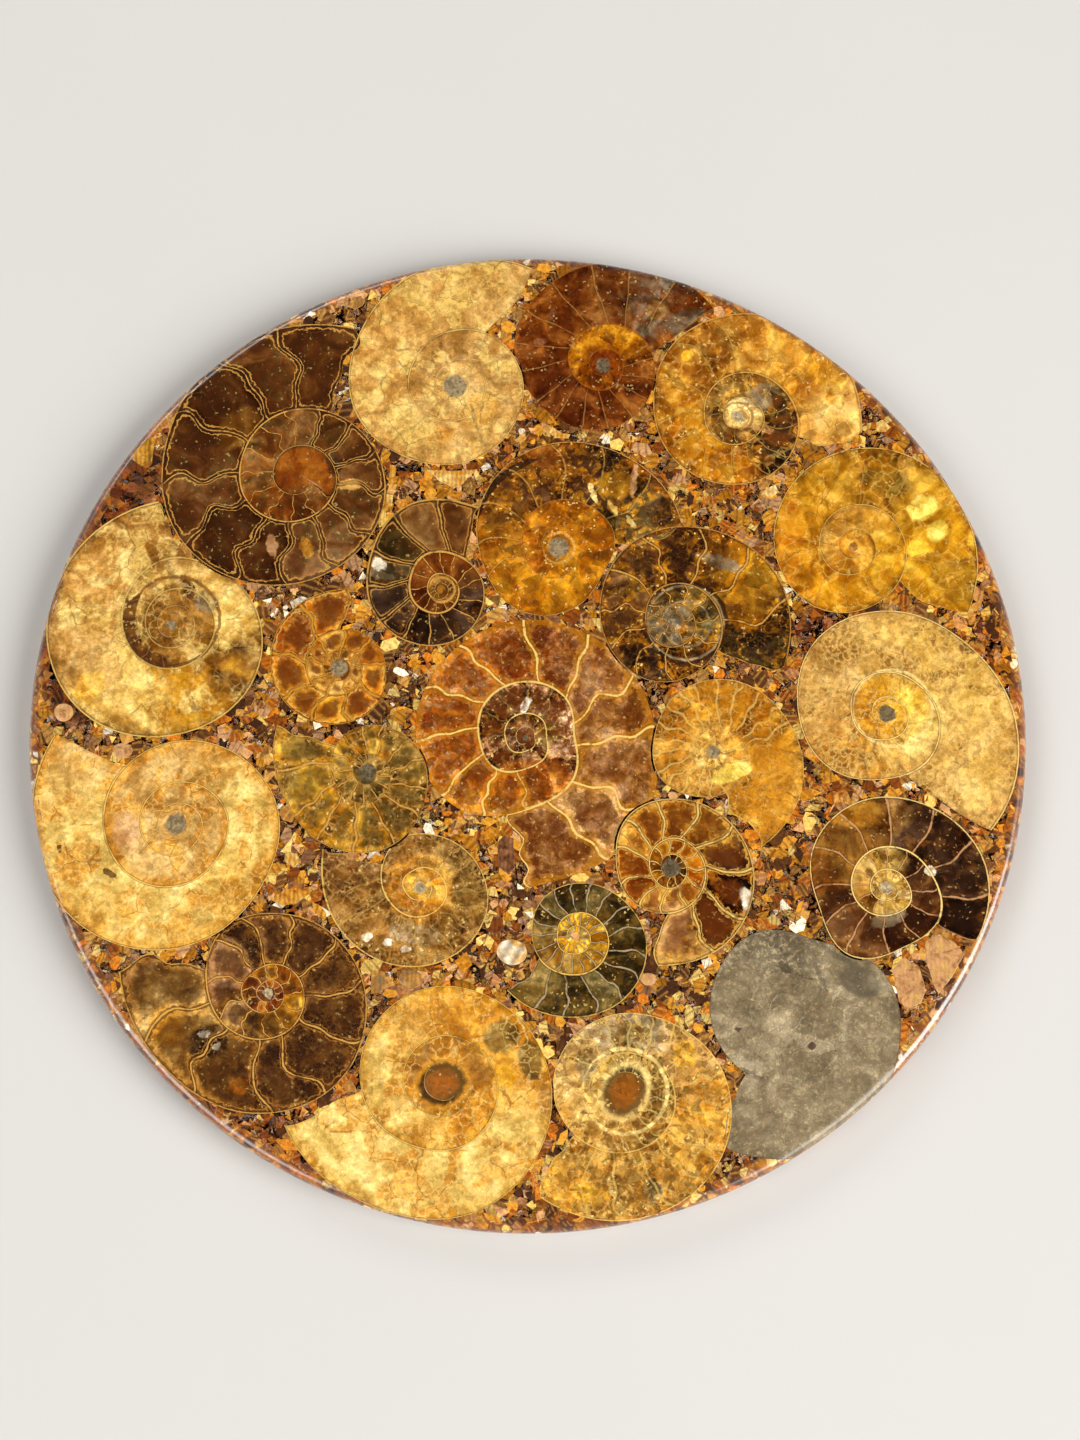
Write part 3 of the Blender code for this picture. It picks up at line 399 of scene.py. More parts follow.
        patch=0.8, line=(STRAW, 0.42, 1.0), inner_line=0.15, whorl_line=0.46, whorl_tone=STRAW,
        outer_ring=0.0, edge=0.2, heart=(RED_BROWN, 0.6), loop=(1.3, 0.3, SAND, 0.1, 1.0),
        gap=(GOLD, 0.5), uneven=3.2, net=(2.2, 0.05, HONEY, 0.3), grain=0.8, crystal=(0.42, 1.3),
        lively=1.8, dot=0.6, dot_tone=DARK_GREY, spots=((-2, 0.4, 7.8, 7.6, 0, UMBER, 0.85),
            (4, -2.5, 2.6, 2.8, 0, OLIVE, 0.7), (-0.5, 3.6, 0.8, 2, -30, IVORY, 0.95),
            (0.5, -11.6, 9, 4.6, 4, ORANGE, 0.7), (-14.5, -1, 3.6, 4.6, 0, ORANGE, 0.5),
            (-10, -14.5, 5, 3.6, 40, ORANGE, 0.7), (11, 4, 3.6, 3.6, 0, ROSE_BROWN, 0.6),
            (12, -19, 3, 3, 0, ROSE_BROWN, 0.6), (15, -8.5, 2.6, 1.6, 30, PINK_BEIGE, 0.7),
            (18.5, -14, 2.2, 1.4, -20, PINK_BEIGE, 0.7), (6, -21, 3, 1.6, 10, PINK_BEIGE, 0.6),
            (16, -3, 1.6, 2.4, 0, PINK_BEIGE, 0.6))),
}

# Columns along one turn for each millimetre of the mouth's radius, rows across a whorl, and rings in
# the centre, which set how finely a slice is meshed.
COLUMNS_PER_MM = 9
ROWS_PER_MM = 1.2
FEWEST_ROWS = 8
CENTRE_RINGS = (0.80, 0.60, 0.40, 0.20)
PATH_SAMPLES = 160
DEEPEST_CUT = 0.9
# Ripples of a chamber wall: cycles from the outer to the inner wall of its whorl, and size.
RIPPLES = ((1.0, 0.9), (2.1, 0.55))
RIPPLE_TURN = 0.8
RIPPLE_SPREAD = 0.5
WALL_WANDER = 0.12
LINE_SHRINK = 0.55
RIDGE_WIDTH = 0.35
DEEPEST_TURNS = 4
# What the finish reads on faces that lie far from any wall, and on the sides.
NO_WALL = (9.0, 9.0, 0.5)
SIDE_CELL = (0.5, 0.0, 0.0)


# ----- Settings -----
def length(name, description, millimetres):
    """A length that a user can change."""
    return FloatProperty(name=name, description=description, default=millimetres * MM, unit="LENGTH")


class PlateSettings(bpy.types.PropertyGroup):
    """Sizes of the plate and of what is set in it."""

    rim_round: length("Rim rounding", "Radius of the plate's top and bottom edges", 1.8)
    rim_width: length("Rim width", "Width of the band of chips cast along the rim", 2.6)
    rim_segments: IntProperty(
        name="Rim segments", description="Segments around the plate", default=256)
    rim_cover: length("Rim cover", "Least resin between a shell's cut edge and the rim", 0.16)
    shell_proud: length("Shell polish height", "How far a polished shell stands above the resin", 0.06)
    stone_proud: length("Stone polish height", "How far a large chip stands above the resin", 0.05)
    shell_gap: length("Shell gap", "Least resin between two shells", 0.35)
    wall_relief: length("Wall relief", "How far the hard shell walls stand above the chambers", 0.05)
    seed: IntProperty(name="Seed", description="Seed of every random choice", default=7)


class ResinSettings(bpy.types.PropertyGroup):
    """How the clear amber resin takes light."""

    ior: FloatProperty(name="IOR", description="Index of refraction of cast resin", default=1.52)
    roughness: FloatProperty(name="Roughness", description="Polish of the resin", default=0.06)
    density: FloatProperty(
        name="Absorption", description="Absorption in each metre of resin", default=260.0)
    tint: FloatVectorProperty(
        name="Amber", description="Colour that passes through the resin", subtype="COLOR",
        default=(0.95, 0.60, 0.20))


class FillingSettings(bpy.types.PropertyGroup):
    """Sizes of the crushed stone that fills the resin."""

    top_spacing: length("Top spacing", "Least distance between chips in the top layer", 0.75)
    top_size: length("Top chip size", "Mean radius of a chip in the top layer", 1.0)
    deep_spacing: length("Deep spacing", "Least distance between the chips sealed below", 2.2)
    deep_size: length("Deep chip size", "Mean radius of a chip sealed below", 1.7)
    back_spacing: length("Underside spacing", "Least distance between chips at the underside", 2.1)
    back_size: length("Underside chip size", "Mean radius of a chip at the underside", 2.2)


class StageSettings(bpy.types.PropertyGroup):
    """Camera, floor and lights."""

    elevation: FloatProperty(
        name="Camera elevation", description="Angle of the view above the floor",
        default=math.radians(77.58), subtype="ANGLE")
    distance: FloatProperty(
        name="Camera distance", description="From the middle of the plate's top",
        default=0.480, unit="LENGTH")
    lens: FloatProperty(name="Lens", description="Focal length in millimetres", default=59.93)
    floor_size: FloatProperty(
        name="Floor size", description="Side of the floor", default=60.0, unit="LENGTH")
    floor_tone: FloatVectorProperty(
        name="Floor colour", description="Plain pale floor", subtype="COLOR",
        default=(0.62, 0.61, 0.59))


# ----- Shape of a spiral slice -----
def spiral_keys(shell):
    """Outer radii every 45 degrees from just before the mouth to the middle of the shell."""
    outer = list(shell["radii"])
    inner = list(shell.get("inner", [radius / shell["growth"] for radius in outer]))
    keys = [outer[-1] * outer[0] / inner[0]] + outer
    for turn in range(DEEPEST_TURNS):
        keys += [radius / shell["growth"] ** turn for radius in inner]
    return np.array(keys) * MM


def reach(keys, back):
    """Outer radius so many degrees back from the mouth, on a smooth curve through the keys."""
    place = np.asarray(back, float) / KEY_STEP
    key = np.clip(np.floor(place).astype(int), 0, len(keys) - 4)
    along = place - key
    before, here, there, after = (keys[key + step] for step in range(4))
    bend = 2 * before - 5 * here + 4 * there - after
    swing = 3 * here - before - 3 * there + after
    return here + 0.5 * along * (there - before + along * (bend + along * swing))


def inside_shell(shell, x, y, clearance):
    """Where points are on a slice, or nearer to it than the clearance."""
    dx = x - shell["centre"][0] * MM
    dy = y - shell["centre"][1] * MM
    back = (np.degrees(np.arctan2(dy, dx)) - shell["mouth"]) % FULL_TURN
    return np.hypot(dx, dy) < reach(spiral_keys(shell), back) + clearance


def surface_level(radius, proud):
    """How far a polished piece stands above the plate: least at the rim."""
    rim_round = bpy.context.scene.plate.rim_round
    ease = np.clip((radius - (PLATE_RADIUS - rim_round)) / rim_round + 1, 0, 1)
    return proud * (1 - 0.5 * ease * ease * (3 - 2 * ease))


def polished_height(radius, proud):
    """Height of the polished surface at a distance from the plate's axis, round the top rim."""
    rim_round = bpy.context.scene.plate.rim_round
    level = rim_round + surface_level(radius, proud)
    drop = np.clip(radius - (PLATE_RADIUS - rim_round), 0, level)
    return PLATE_TOP - rim_round + np.sqrt(level ** 2 - drop ** 2)


def chamber_columns(shell, columns, last, rng):
    """Columns at which a wall stands, from the mouth inwards, and so where each chamber starts."""
    pitch = columns / shell["septa"]
    place = shell["body"] / FULL_TURN * columns
    walls = [0]
    while place < last:
        column = int(round(place + rng.uniform(-WALL_WANDER, WALL_WANDER) * pitch))
        if column > walls[-1] + 2:
            walls.append(column)
        place += pitch
    return np.array(walls)


class Slice:
    """The grid of one ammonite slice: columns follow the spiral inwards and rows cross each whorl."""

    def __init__(self, name, shell, whole_neighbours):
        plate = bpy.context.scene.plate
        self.shell = shell
        self.rng = np.random.default_rng([plate.seed, sum(map(ord, name))])
        self.keys = spiral_keys(shell)
        self.centre = np.array(shell["centre"]) * MM
        self.columns = KEYS_PER_TURN * int(round(shell["radii"][0] * COLUMNS_PER_MM / KEYS_PER_TURN))
        self.step = FULL_TURN / self.columns
        self.shift = int(round(shell["slant"] / self.step))
        self.turn = self.columns + self.shift
        self.count_columns()
        width = shell["radii"][0] * (1 - 1 / shell["growth"])
        self.rows = max(FEWEST_ROWS, int(round(width * ROWS_PER_MM)))
        self.depths = (1 - np.cos(np.linspace(0, math.pi, self.rows + 1))) / 2
        self.walls = chamber_columns(shell, self.columns, self.last, self.rng)
        self.heights = self.rng.normal(0, 1, (len(self.walls) + 2, len(RIPPLES)))
        self.phases = self.rng.uniform(0, 2 * math.pi, (len(self.walls) + 2, len(RIPPLES)))
        self.place_columns(whole_neighbours)

    def count_columns(self):
        """Find how many columns there are before the spiral is as small as its centre."""
        back = np.arange(0, DEEPEST_TURNS * self.columns) * self.step
        core = self.shell["core"] * MM / math.sqrt(self.shell["growth"])
        small = np.nonzero(reach(self.keys, back) < core)[0]
        self.end = int(small[0]) if len(small) else len(back) - 1
        self.end = max(self.end, self.turn + self.columns // 4)
        self.last = self.end - self.turn

    def lean(self, column, inwards):
        """Degrees that a column is turned back at a share of the way in, as its nearest walls are."""
        place = np.interp(column, self.walls, np.arange(len(self.walls)))
        wall = np.floor(place).astype(int)
        share = place - wall
        arch = np.clip(4 * inwards * (1 - inwards), 0, 1)
        total = 0
        for index, (cycles, size) in enumerate(RIPPLES):
            for weight, which in ((1 - share, wall), (share, wall + 1)):
                turned_by = 2 * math.pi * cycles * inwards + RIPPLE_TURN * self.phases[which, index]
                swell = 1 + RIPPLE_SPREAD * self.heights[which, index]
                total = total + weight * size * swell * np.sin(turned_by)
        return self.shell["bow"] * arch + self.shell["wave"] * total * np.sqrt(arch)

    def path(self, column, inwards):
        """Points of a column's curve from the outer wall (0) to the inner wall (1)."""
        back = column * self.step
        outer = reach(self.keys, back)
        inner = reach(self.keys, (column + self.turn) * self.step)
        turned_by = inwards ** self.shell["curl"] * self.shift * self.step + self.lean(column, inwards)
        angle = np.radians(self.shell["mouth"] + back + turned_by)
        radius = outer + (inner - outer) * inwards
        return (self.centre[0] + radius * np.cos(angle), self.centre[1] + radius * np.sin(angle),
                radius, outer - inner)

    def place_columns(self, whole_neighbours):
        """Cut the first turn's columns off at the plate's rim and at the neighbours."""
        plate = bpy.context.scene.plate
        column = np.arange(self.last + 1)[:, None]
        x, y, _, _ = self.path(column, np.linspace(0, 1, PATH_SAMPLES)[None, :])
        blocked = np.hypot(x, y) > PLATE_RADIUS - plate.rim_cover
        for other in whole_neighbours:
            blocked |= inside_shell(other, x, y, plate.shell_gap)
        blocked[self.turn:, :] = False
        first_free = np.where(blocked.any(1), PATH_SAMPLES - np.argmax(blocked[:, ::-1], axis=1), 0)
        self.cut = np.clip(first_free / (PATH_SAMPLES - 1), 0, DEEPEST_CUT)

    def points(self):
        """Points of the whole grid, with their radius, the whorl's width and the share of the way in."""
        cut = self.cut[:, None]
        inwards = cut + (1 - cut) * self.depths[None, :]
        x, y, radius, width = self.path(np.arange(self.last + 1)[:, None], inwards)
        return x, y, radius, width * np.ones_like(x), inwards

    def distances(self, radius, width, inwards):
        """Distances to the nearest chamber wall and whorl wall, with lines thinner in older whorls."""
        column = np.arange(self.last + 1)
        nearest = np.min(np.abs(column[:, None] - self.walls[None, :]), axis=1)[:, None]
        scale = (radius / (self.shell["radii"][0] * MM)) ** LINE_SHRINK
        septum = nearest * np.radians(self.step) * radius / scale
        whorl = np.minimum(inwards, 1 - inwards) * width / scale
        return septum / MM, whorl / MM

    def vertex(self, column, row):
        """Number of a vertex; the inner wall of a whorl is the next whorl's outer wall."""
        column = np.asarray(column) + np.where(np.asarray(row) == self.rows, self.turn, 0)
        row = np.where(np.asarray(row) == self.rows, 0, row)
        past = (self.last + 1) * self.rows + column - self.last - 1
        return np.where(column <= self.last, column * self.rows + row, past)


def build_slice(name, shell, whole_neighbours):
    """One slice as a closed mesh: spiral top, centre, walls down to its seat, and underside."""
    plate = bpy.context.scene.plate
    grid = Slice(name, shell, whole_neighbours)
    x, y, radius, width, inwards = grid.points()
    septum, whorl = grid.distances(radius, width, inwards)
    relief = plate.wall_relief * np.maximum(np.exp(-(septum / RIDGE_WIDTH) ** 2) * shell["line"][2],
                                            np.exp(-(whorl / RIDGE_WIDTH) ** 2))
    rows, last = grid.rows, grid.last

    # Rows 0 to rows-1 of every column, then the outer wall of the columns that close the centre.
    wall_columns = np.arange(last + 1, grid.end + 1)
    wall_radius = reach(grid.keys, wall_columns * grid.step)
    wall_angle = np.radians(shell["mouth"] + wall_columns * grid.step)
    xs = np.concatenate([x[:, :rows].ravel(), grid.centre[0] + wall_radius * np.cos(wall_angle)])
    ys = np.concatenate([y[:, :rows].ravel(), grid.centre[1] + wall_radius * np.sin(wall_angle)])
    lift = np.concatenate([relief[:, :rows].ravel(), np.full(len(wall_columns), plate.wall_relief)])
    zs = polished_height(np.hypot(xs, ys), plate.shell_proud) + lift
    points = [np.column_stack([xs, ys, zs])]

    column, row = (index.ravel() for index in np.meshgrid(np.arange(last), np.arange(rows), indexing="ij"))
    corners = ((column, row), (column + 1, row), (column + 1, row + 1), (column, row + 1))
    faces = [tuple(quad) for quad in np.column_stack([grid.vertex(c, r) for c, r in corners])]
    chamber = np.searchsorted(grid.walls, column, side="right") - 1
    shades = grid.rng.random((len(grid.walls) + 1, 2))
    side = np.where(inwards > 0.5, -1.0, 0.0)
    places = [np.stack([np.column_stack([septum[c, r], whorl[c, r], shades[chamber, 1]])
                        for c, r in corners], axis=1).reshape(-1, 3)]
    cells = [np.stack([np.column_stack([shades[chamber, 0], side[c, r], c / grid.columns])
                       for c, r in corners], axis=1).reshape(-1, 3)]

    loop = [int(grid.vertex(c, 0)) for c in range(last, grid.end + 1)]
    loop += [int(grid.vertex(last, r)) for r in range(rows - 1, 0, -1)]
    for face, depths in close_centre(grid, loop, points):
        faces.append(face)
        places.append(np.tile(NO_WALL, (len(face), 1)))
        cells.append(np.array([[0.5, depth, grid.end / grid.columns] for depth in depths]))

    # Sides and underside.
    rim = [int(grid.vertex(c, 0)) for c in range(grid.turn + 1)]
    rim += [int(grid.vertex(0, r)) for r in range(rows - 1, 0, -1)]
    top = np.concatenate(points)
    seat = top[rim].copy()
    seat[:, 2] = SLICE_SEAT
    low = range(len(top), len(top) + len(rim))
    faces += strip(low, rim) + [tuple(reversed(low))]
    side_corners = 4 * len(rim) + len(rim)
    places.append(np.tile(NO_WALL, (side_corners, 1)))
    cells.append(np.tile(SIDE_CELL, (side_corners, 1)))

    mesh = new_mesh(name, np.concatenate([top, seat]).tolist(), faces)
    for attribute, values in (("place", places), ("cell", cells)):
        kept = mesh.attributes.new(attribute, "FLOAT_VECTOR", "CORNER")
        kept.data.foreach_set("vector", np.concatenate(values).astype(np.float32).ravel())
    return mesh


def close_centre(grid, loop, points):
    """Add rings of points inside a loop, and give back each face with its corners' depth inside."""
    rim = np.concatenate(points)[loop]
    relief = bpy.context.scene.plate.wall_relief
    middle = np.array([grid.centre[0], grid.centre[1], rim[:, 2].mean()])
    start = len(points[0])
    faces = []
    before = loop
    for ring, share in enumerate(CENTRE_RINGS, 1):
        block = middle + (rim - middle) * share
        block[:, 2] = rim[:, 2] - relief
        points.append(block)
        here = range(start, start + len(loop))
        start += len(loop)
        outer, inner = ((ring - step) / (len(CENTRE_RINGS) + 1) for step in (1, 0))
        faces += [(face, (outer, outer, inner, inner)) for face in strip(before, here)]
        before = here
    middle[2] = points[-1][:, 2].mean()
    points.append(middle[None, :])
    for index, vertex in enumerate(before):
        faces.append(((vertex, before[(index + 1) % len(before)], start), (inner, inner, 1.0)))
    return faces


def strip(lower, upper):
    """Quads that join a closed loop of vertices to the next loop."""
    ends = [(index, (index + 1) % len(lower)) for index in range(len(lower))]
    return [(lower[here], lower[after], upper[after], upper[here]) for here, after in ends]


def new_mesh(name, points, faces):
    """A mesh from points and faces."""
    mesh = bpy.data.meshes.new(name)
    mesh.from_pydata(points, [], faces)
    return mesh


# ----- Materials -----
# Noises: how many to the millimetre, detail, roughness and distortion.
NOISES = {
    "ripple": (0.9, 2.0, 0.55, 0.0), "drift": (0.16, 2.0, 0.55, 0.0), "fine": (2.6, 4.0, 0.65, 0.0),
    "deep": (0.17, 4.0, 0.5, 1.0), "soft": (0.6, 5.0, 0.7, 1.0), "fleck": (1.9, 3.0, 0.7, 0.6),
    "stone_cloud": (0.55, 4.0, 0.6, 0.5), "stone_grain": (4.0, 4.0, 0.7, 0.0),
    "chip_grain": (3.4, 4.0, 0.7, 0.0), "rim_amber": (0.3, 3.0, 0.55, 0.0),
    "resin_swirl": (0.05, 2.0, 0.55, 0.0), "floor": (0.02, 3.0, 0.55, 0.0),
}
STAIN_NOISE = (4.0, 0.6, 0.8)
# Wandering of painted edges: how many bends to the millimetre, and their size in millimetres.
WARPS = {"spots": (0.7, 1.8), "net": (0.9, 1.6), "arcs": (0.5, 0.8), "ragged": (0.8, 1.4),
         "crystals": (1.0, 0.7), "cracks": (0.3, 3.0), "layers": (0.6, 1.2), "tints": (0.2, 4.0)}
# Where smooth steps start and end: what the noise really reaches, a blotch's edge as shares of its
# size, the outer half of a whorl, and the end of the first turn.
NOISE_REACH = (0.32, 0.68)
BLOTCH_EDGE = (0.78, 1.04)
OUTER_SIDE = (-0.6, -0.4)
FIRST_TURN = (0.98, 1.02)
# Painted highlights: how many facets to the millimetre may be painted pale as glints.
PAINTED_GLINTS_PER_MM = 2.3
SPARKLES_PER_MM = 1.9
CRACKS_PER_MM = 0.13
RIM_CHIPS_PER_MM = 0.55
# The window in the middle of a shell, from its ring inwards: share of its size, and tone.
# Painted shade and light: black-brown at the window's edge and amber in its middle, as a hollow under
# resin looks.
WINDOW_SHADE_RINGS = ((1.06, BLACK_BROWN), (0.74, RUST), (0.4, AMBER))


def add_node(tree, kind, inputs, settings):
    """A node with its settings, and its inputs joined to sockets or set to values."""
    node = tree.nodes.new(kind)
    for key, value in settings.items():
        setattr(node, key, value)
    for socket, value in inputs.items():
        if isinstance(value, bpy.types.NodeSocket):
            tree.links.new(value, node.inputs[socket])
        else:
            node.inputs[socket].default_value = value
    return node


class Finish:
    """A material being made.  Most methods add a node and give back the socket that leaves it; those
    that change the colour made so far give back nothing."""

    def __init__(self, name):
        self.material = bpy.data.materials.new(name)
        self.material.use_nodes = True
        self.tree = self.material.node_tree
        self.tree.nodes.clear()
        place = self.add("ShaderNodeTexCoord", {}).outputs["Object"]
        self.place = self.vector("SCALE", {0: place, "Scale": 1 / MM})

    def add(self, kind, inputs, **settings):
        """A node in this material."""
        return add_node(self.tree, kind, inputs, settings)

    def vector(self, operation, inputs, result="Vector"):
        """One step of vector arithmetic."""
        return self.add("ShaderNodeVectorMath", inputs, operation=operation).outputs[result]

    def number(self, operation, *values):
        """One step of arithmetic."""
        return self.add("ShaderNodeMath", dict(enumerate(values)), operation=operation).outputs[0]

    def times(self, first, second):
        """Two values multiplied."""
        return self.number("MULTIPLY", first, second)

    def shifted(self, value, other, amount):
        """A value with an amount of another added."""
        return self.number("MULTIPLY_ADD", other, amount, value)

    def off(self, value, middle):
        """How far a value is from a middle, either way."""
        return self.number("ABSOLUTE", self.number("SUBTRACT", value, middle))

    def split(self, vector):
        """The three parts of a vector."""
        return self.add("ShaderNodeSeparateXYZ", {0: vector}).outputs[:]

    def attribute(self, name):
        """The three numbers kept on the mesh under a name."""
        return self.split(self.add("ShaderNodeAttribute", {}, attribute_name=name).outputs["Vector"])

    def band(self, value, start, end, low=0.0, high=1.0):
        """A smooth step from low, at start, to high, at end."""
        inputs = {"Value": value, "From Min": start, "From Max": end, "To Min": low, "To Max": high}
        return self.add("ShaderNodeMapRange", inputs, interpolation_type="SMOOTHSTEP").outputs["Result"]

    def spread(self, value, low, high):
        """A value from 0 to 1 spread evenly between low and high."""
        inputs = {"Value": value, "To Min": low, "To Max": high}
        return self.add("ShaderNodeMapRange", inputs, clamp=False).outputs["Result"]

    def clouds(self, scale, detail=3.0, roughness=0.55, distortion=0.0):
        """A cloudy noise node."""
        return self.add("ShaderNodeTexNoise", {"Vector": self.place, "Scale": scale, "Detail": detail,
                                               "Roughness": roughness, "Distortion": distortion})

    def noise(self, key):
        """One of the noises."""
        return self.clouds(*NOISES[key]).outputs["Fac"]

    def full_noise(self, key):
        """One of the noises, stretched so that it reaches both 0 and 1."""
        return self.band(self.noise(key), *NOISE_REACH)

    def warp(self, key):
        """The place moved about by noise, so that edges painted with it wander."""
        scale, amount = WARPS[key]
        cloud = self.clouds(scale).outputs["Color"]
        centred = self.vector("SUBTRACT", {0: cloud, 1: (0.5, 0.5, 0.5)})
        return self.vector("MULTIPLY_ADD", {0: centred, 1: (amount, amount, 0.0), 2: self.place})

    def facets(self, vector, scale):
        """Three random numbers for each crystal facet, so many facets to the millimetre."""
        return self.split(self.add("ShaderNodeTexVoronoi", {"Vector": vector, "Scale": scale},
                                   feature="F1").outputs["Color"])

    def seams(self, vector, scale):
        """Distance to the nearest seam between facets."""
        return self.add("ShaderNodeTexVoronoi", {"Vector": vector, "Scale": scale},
                        feature="DISTANCE_TO_EDGE").outputs["Distance"]

    def mix(self, share, first, second, blend="MIX"):
        """Two colours mixed by a share."""
        return self.add("ShaderNodeMix", {0: share, 6: first, 7: second}, data_type="RGBA",
                        blend_type=blend).outputs[2]

    def ramp(self, value, stops, interpolation="LINEAR"):
        """Colours along a value."""
        node = self.add("ShaderNodeValToRGB", {0: value})
        node.color_ramp.interpolation = interpolation
        elements = node.color_ramp.elements
        while len(elements) < len(stops):
            elements.new(1.0)
        for element, (place, colour) in zip(elements, stops):
            element.position = place
            element.color = colour
        return node.outputs[0]

    def dim(self, colour, factor):
        """A colour made brighter or darker by a factor."""
        grey = self.add("ShaderNodeCombineXYZ", {0: factor, 1: factor, 2: factor}).outputs[0]
        return self.mix(1.0, colour, grey, "MULTIPLY")

    def local(self, vector, middle, turn, half_sizes):
        """The place as seen from the middle of a marking that is turned, in radians, and scaled."""
        inputs = {"Vector": vector, "Location": (*middle, 0.0), "Rotation": (0.0, 0.0, turn),
                  "Scale": (*half_sizes, 1 / MM)}
        return self.add("ShaderNodeMapping", inputs, vector_type="TEXTURE").outputs["Vector"]

    def paint(self, stain, *shares):
        """Mix another colour in, by a share or by several shares multiplied."""
        self.colour = self.mix(functools.reduce(self.times, shares), self.colour, stain)

    def shade(self, value, low, high):
        """Make the colour darker or brighter, by low where a value is 0 and by high where it is 1."""
        self.colour = self.dim(self.colour, self.spread(value, low, high))

    def soak(self, value, low, high):
        """Show the colour through more or less of its own mineral: darker and richer, or paler."""
        inputs = {"Color": self.colour, "Gamma": self.spread(value, low, high)}
        self.colour = self.add("ShaderNodeGamma", inputs).outputs[0]

    def blotch(self, vector, spot):
        """Paint one blotch: centre, half sizes, turn in degrees, colour and strength."""
        x, y, long_half, short_half, turn, stain, strength = spot
        place = self.local(vector, (x, y), math.radians(turn), (long_half, short_half))
        away = self.vector("LENGTH", {0: place}, "Value")
        self.paint(stain, self.band(away, *BLOTCH_EDGE, strength, 0.0))

    def arc(self, vector, arc):
        """Paint part of a ring: its middle, radius, half width, first and last degree, and colour."""
        x, y, radius, half_width, first, last, stain, strength = arc
        turn, half_span = math.radians((first + last) / 2), math.radians((last - first) / 2)
        place = self.local(vector, (x, y), turn, (1.0, 1.0))
        along, across, _ = self.split(place)
        away = self.off(self.vector("LENGTH", {0: place}, "Value"), radius)
        turned_by = self.number("ABSOLUTE", self.number("ARCTAN2", across, along))
        taper = self.band(turned_by, 0.55 * half_span, half_span, half_width, 0.05)
        over = self.number("SUBTRACT", away, taper)
        self.paint(stain, self.band(over, -0.15, 0.15, strength, 0.0),
                   self.band(turned_by, 0.95 * half_span, half_span, 1.0, 0.0))

    def close(self, roughness, height, depth, **constants):
        """Join the shader up: roughness, a height in millimetres, and plain values."""
        bump = self.add("ShaderNodeBump", {"Height": height, "Distance": depth * MM, "Strength": 1.0})
        inputs = {"Base Color": self.colour, "Roughness": roughness, "Normal": bump.outputs[0]}
        inputs.update({key.replace("_", " "): value for key, value in constants.items()})
        shader = self.add("ShaderNodeBsdfPrincipled", inputs)
        self.add("ShaderNodeOutputMaterial", {"Surface": shader.outputs[0]})
        return self.material


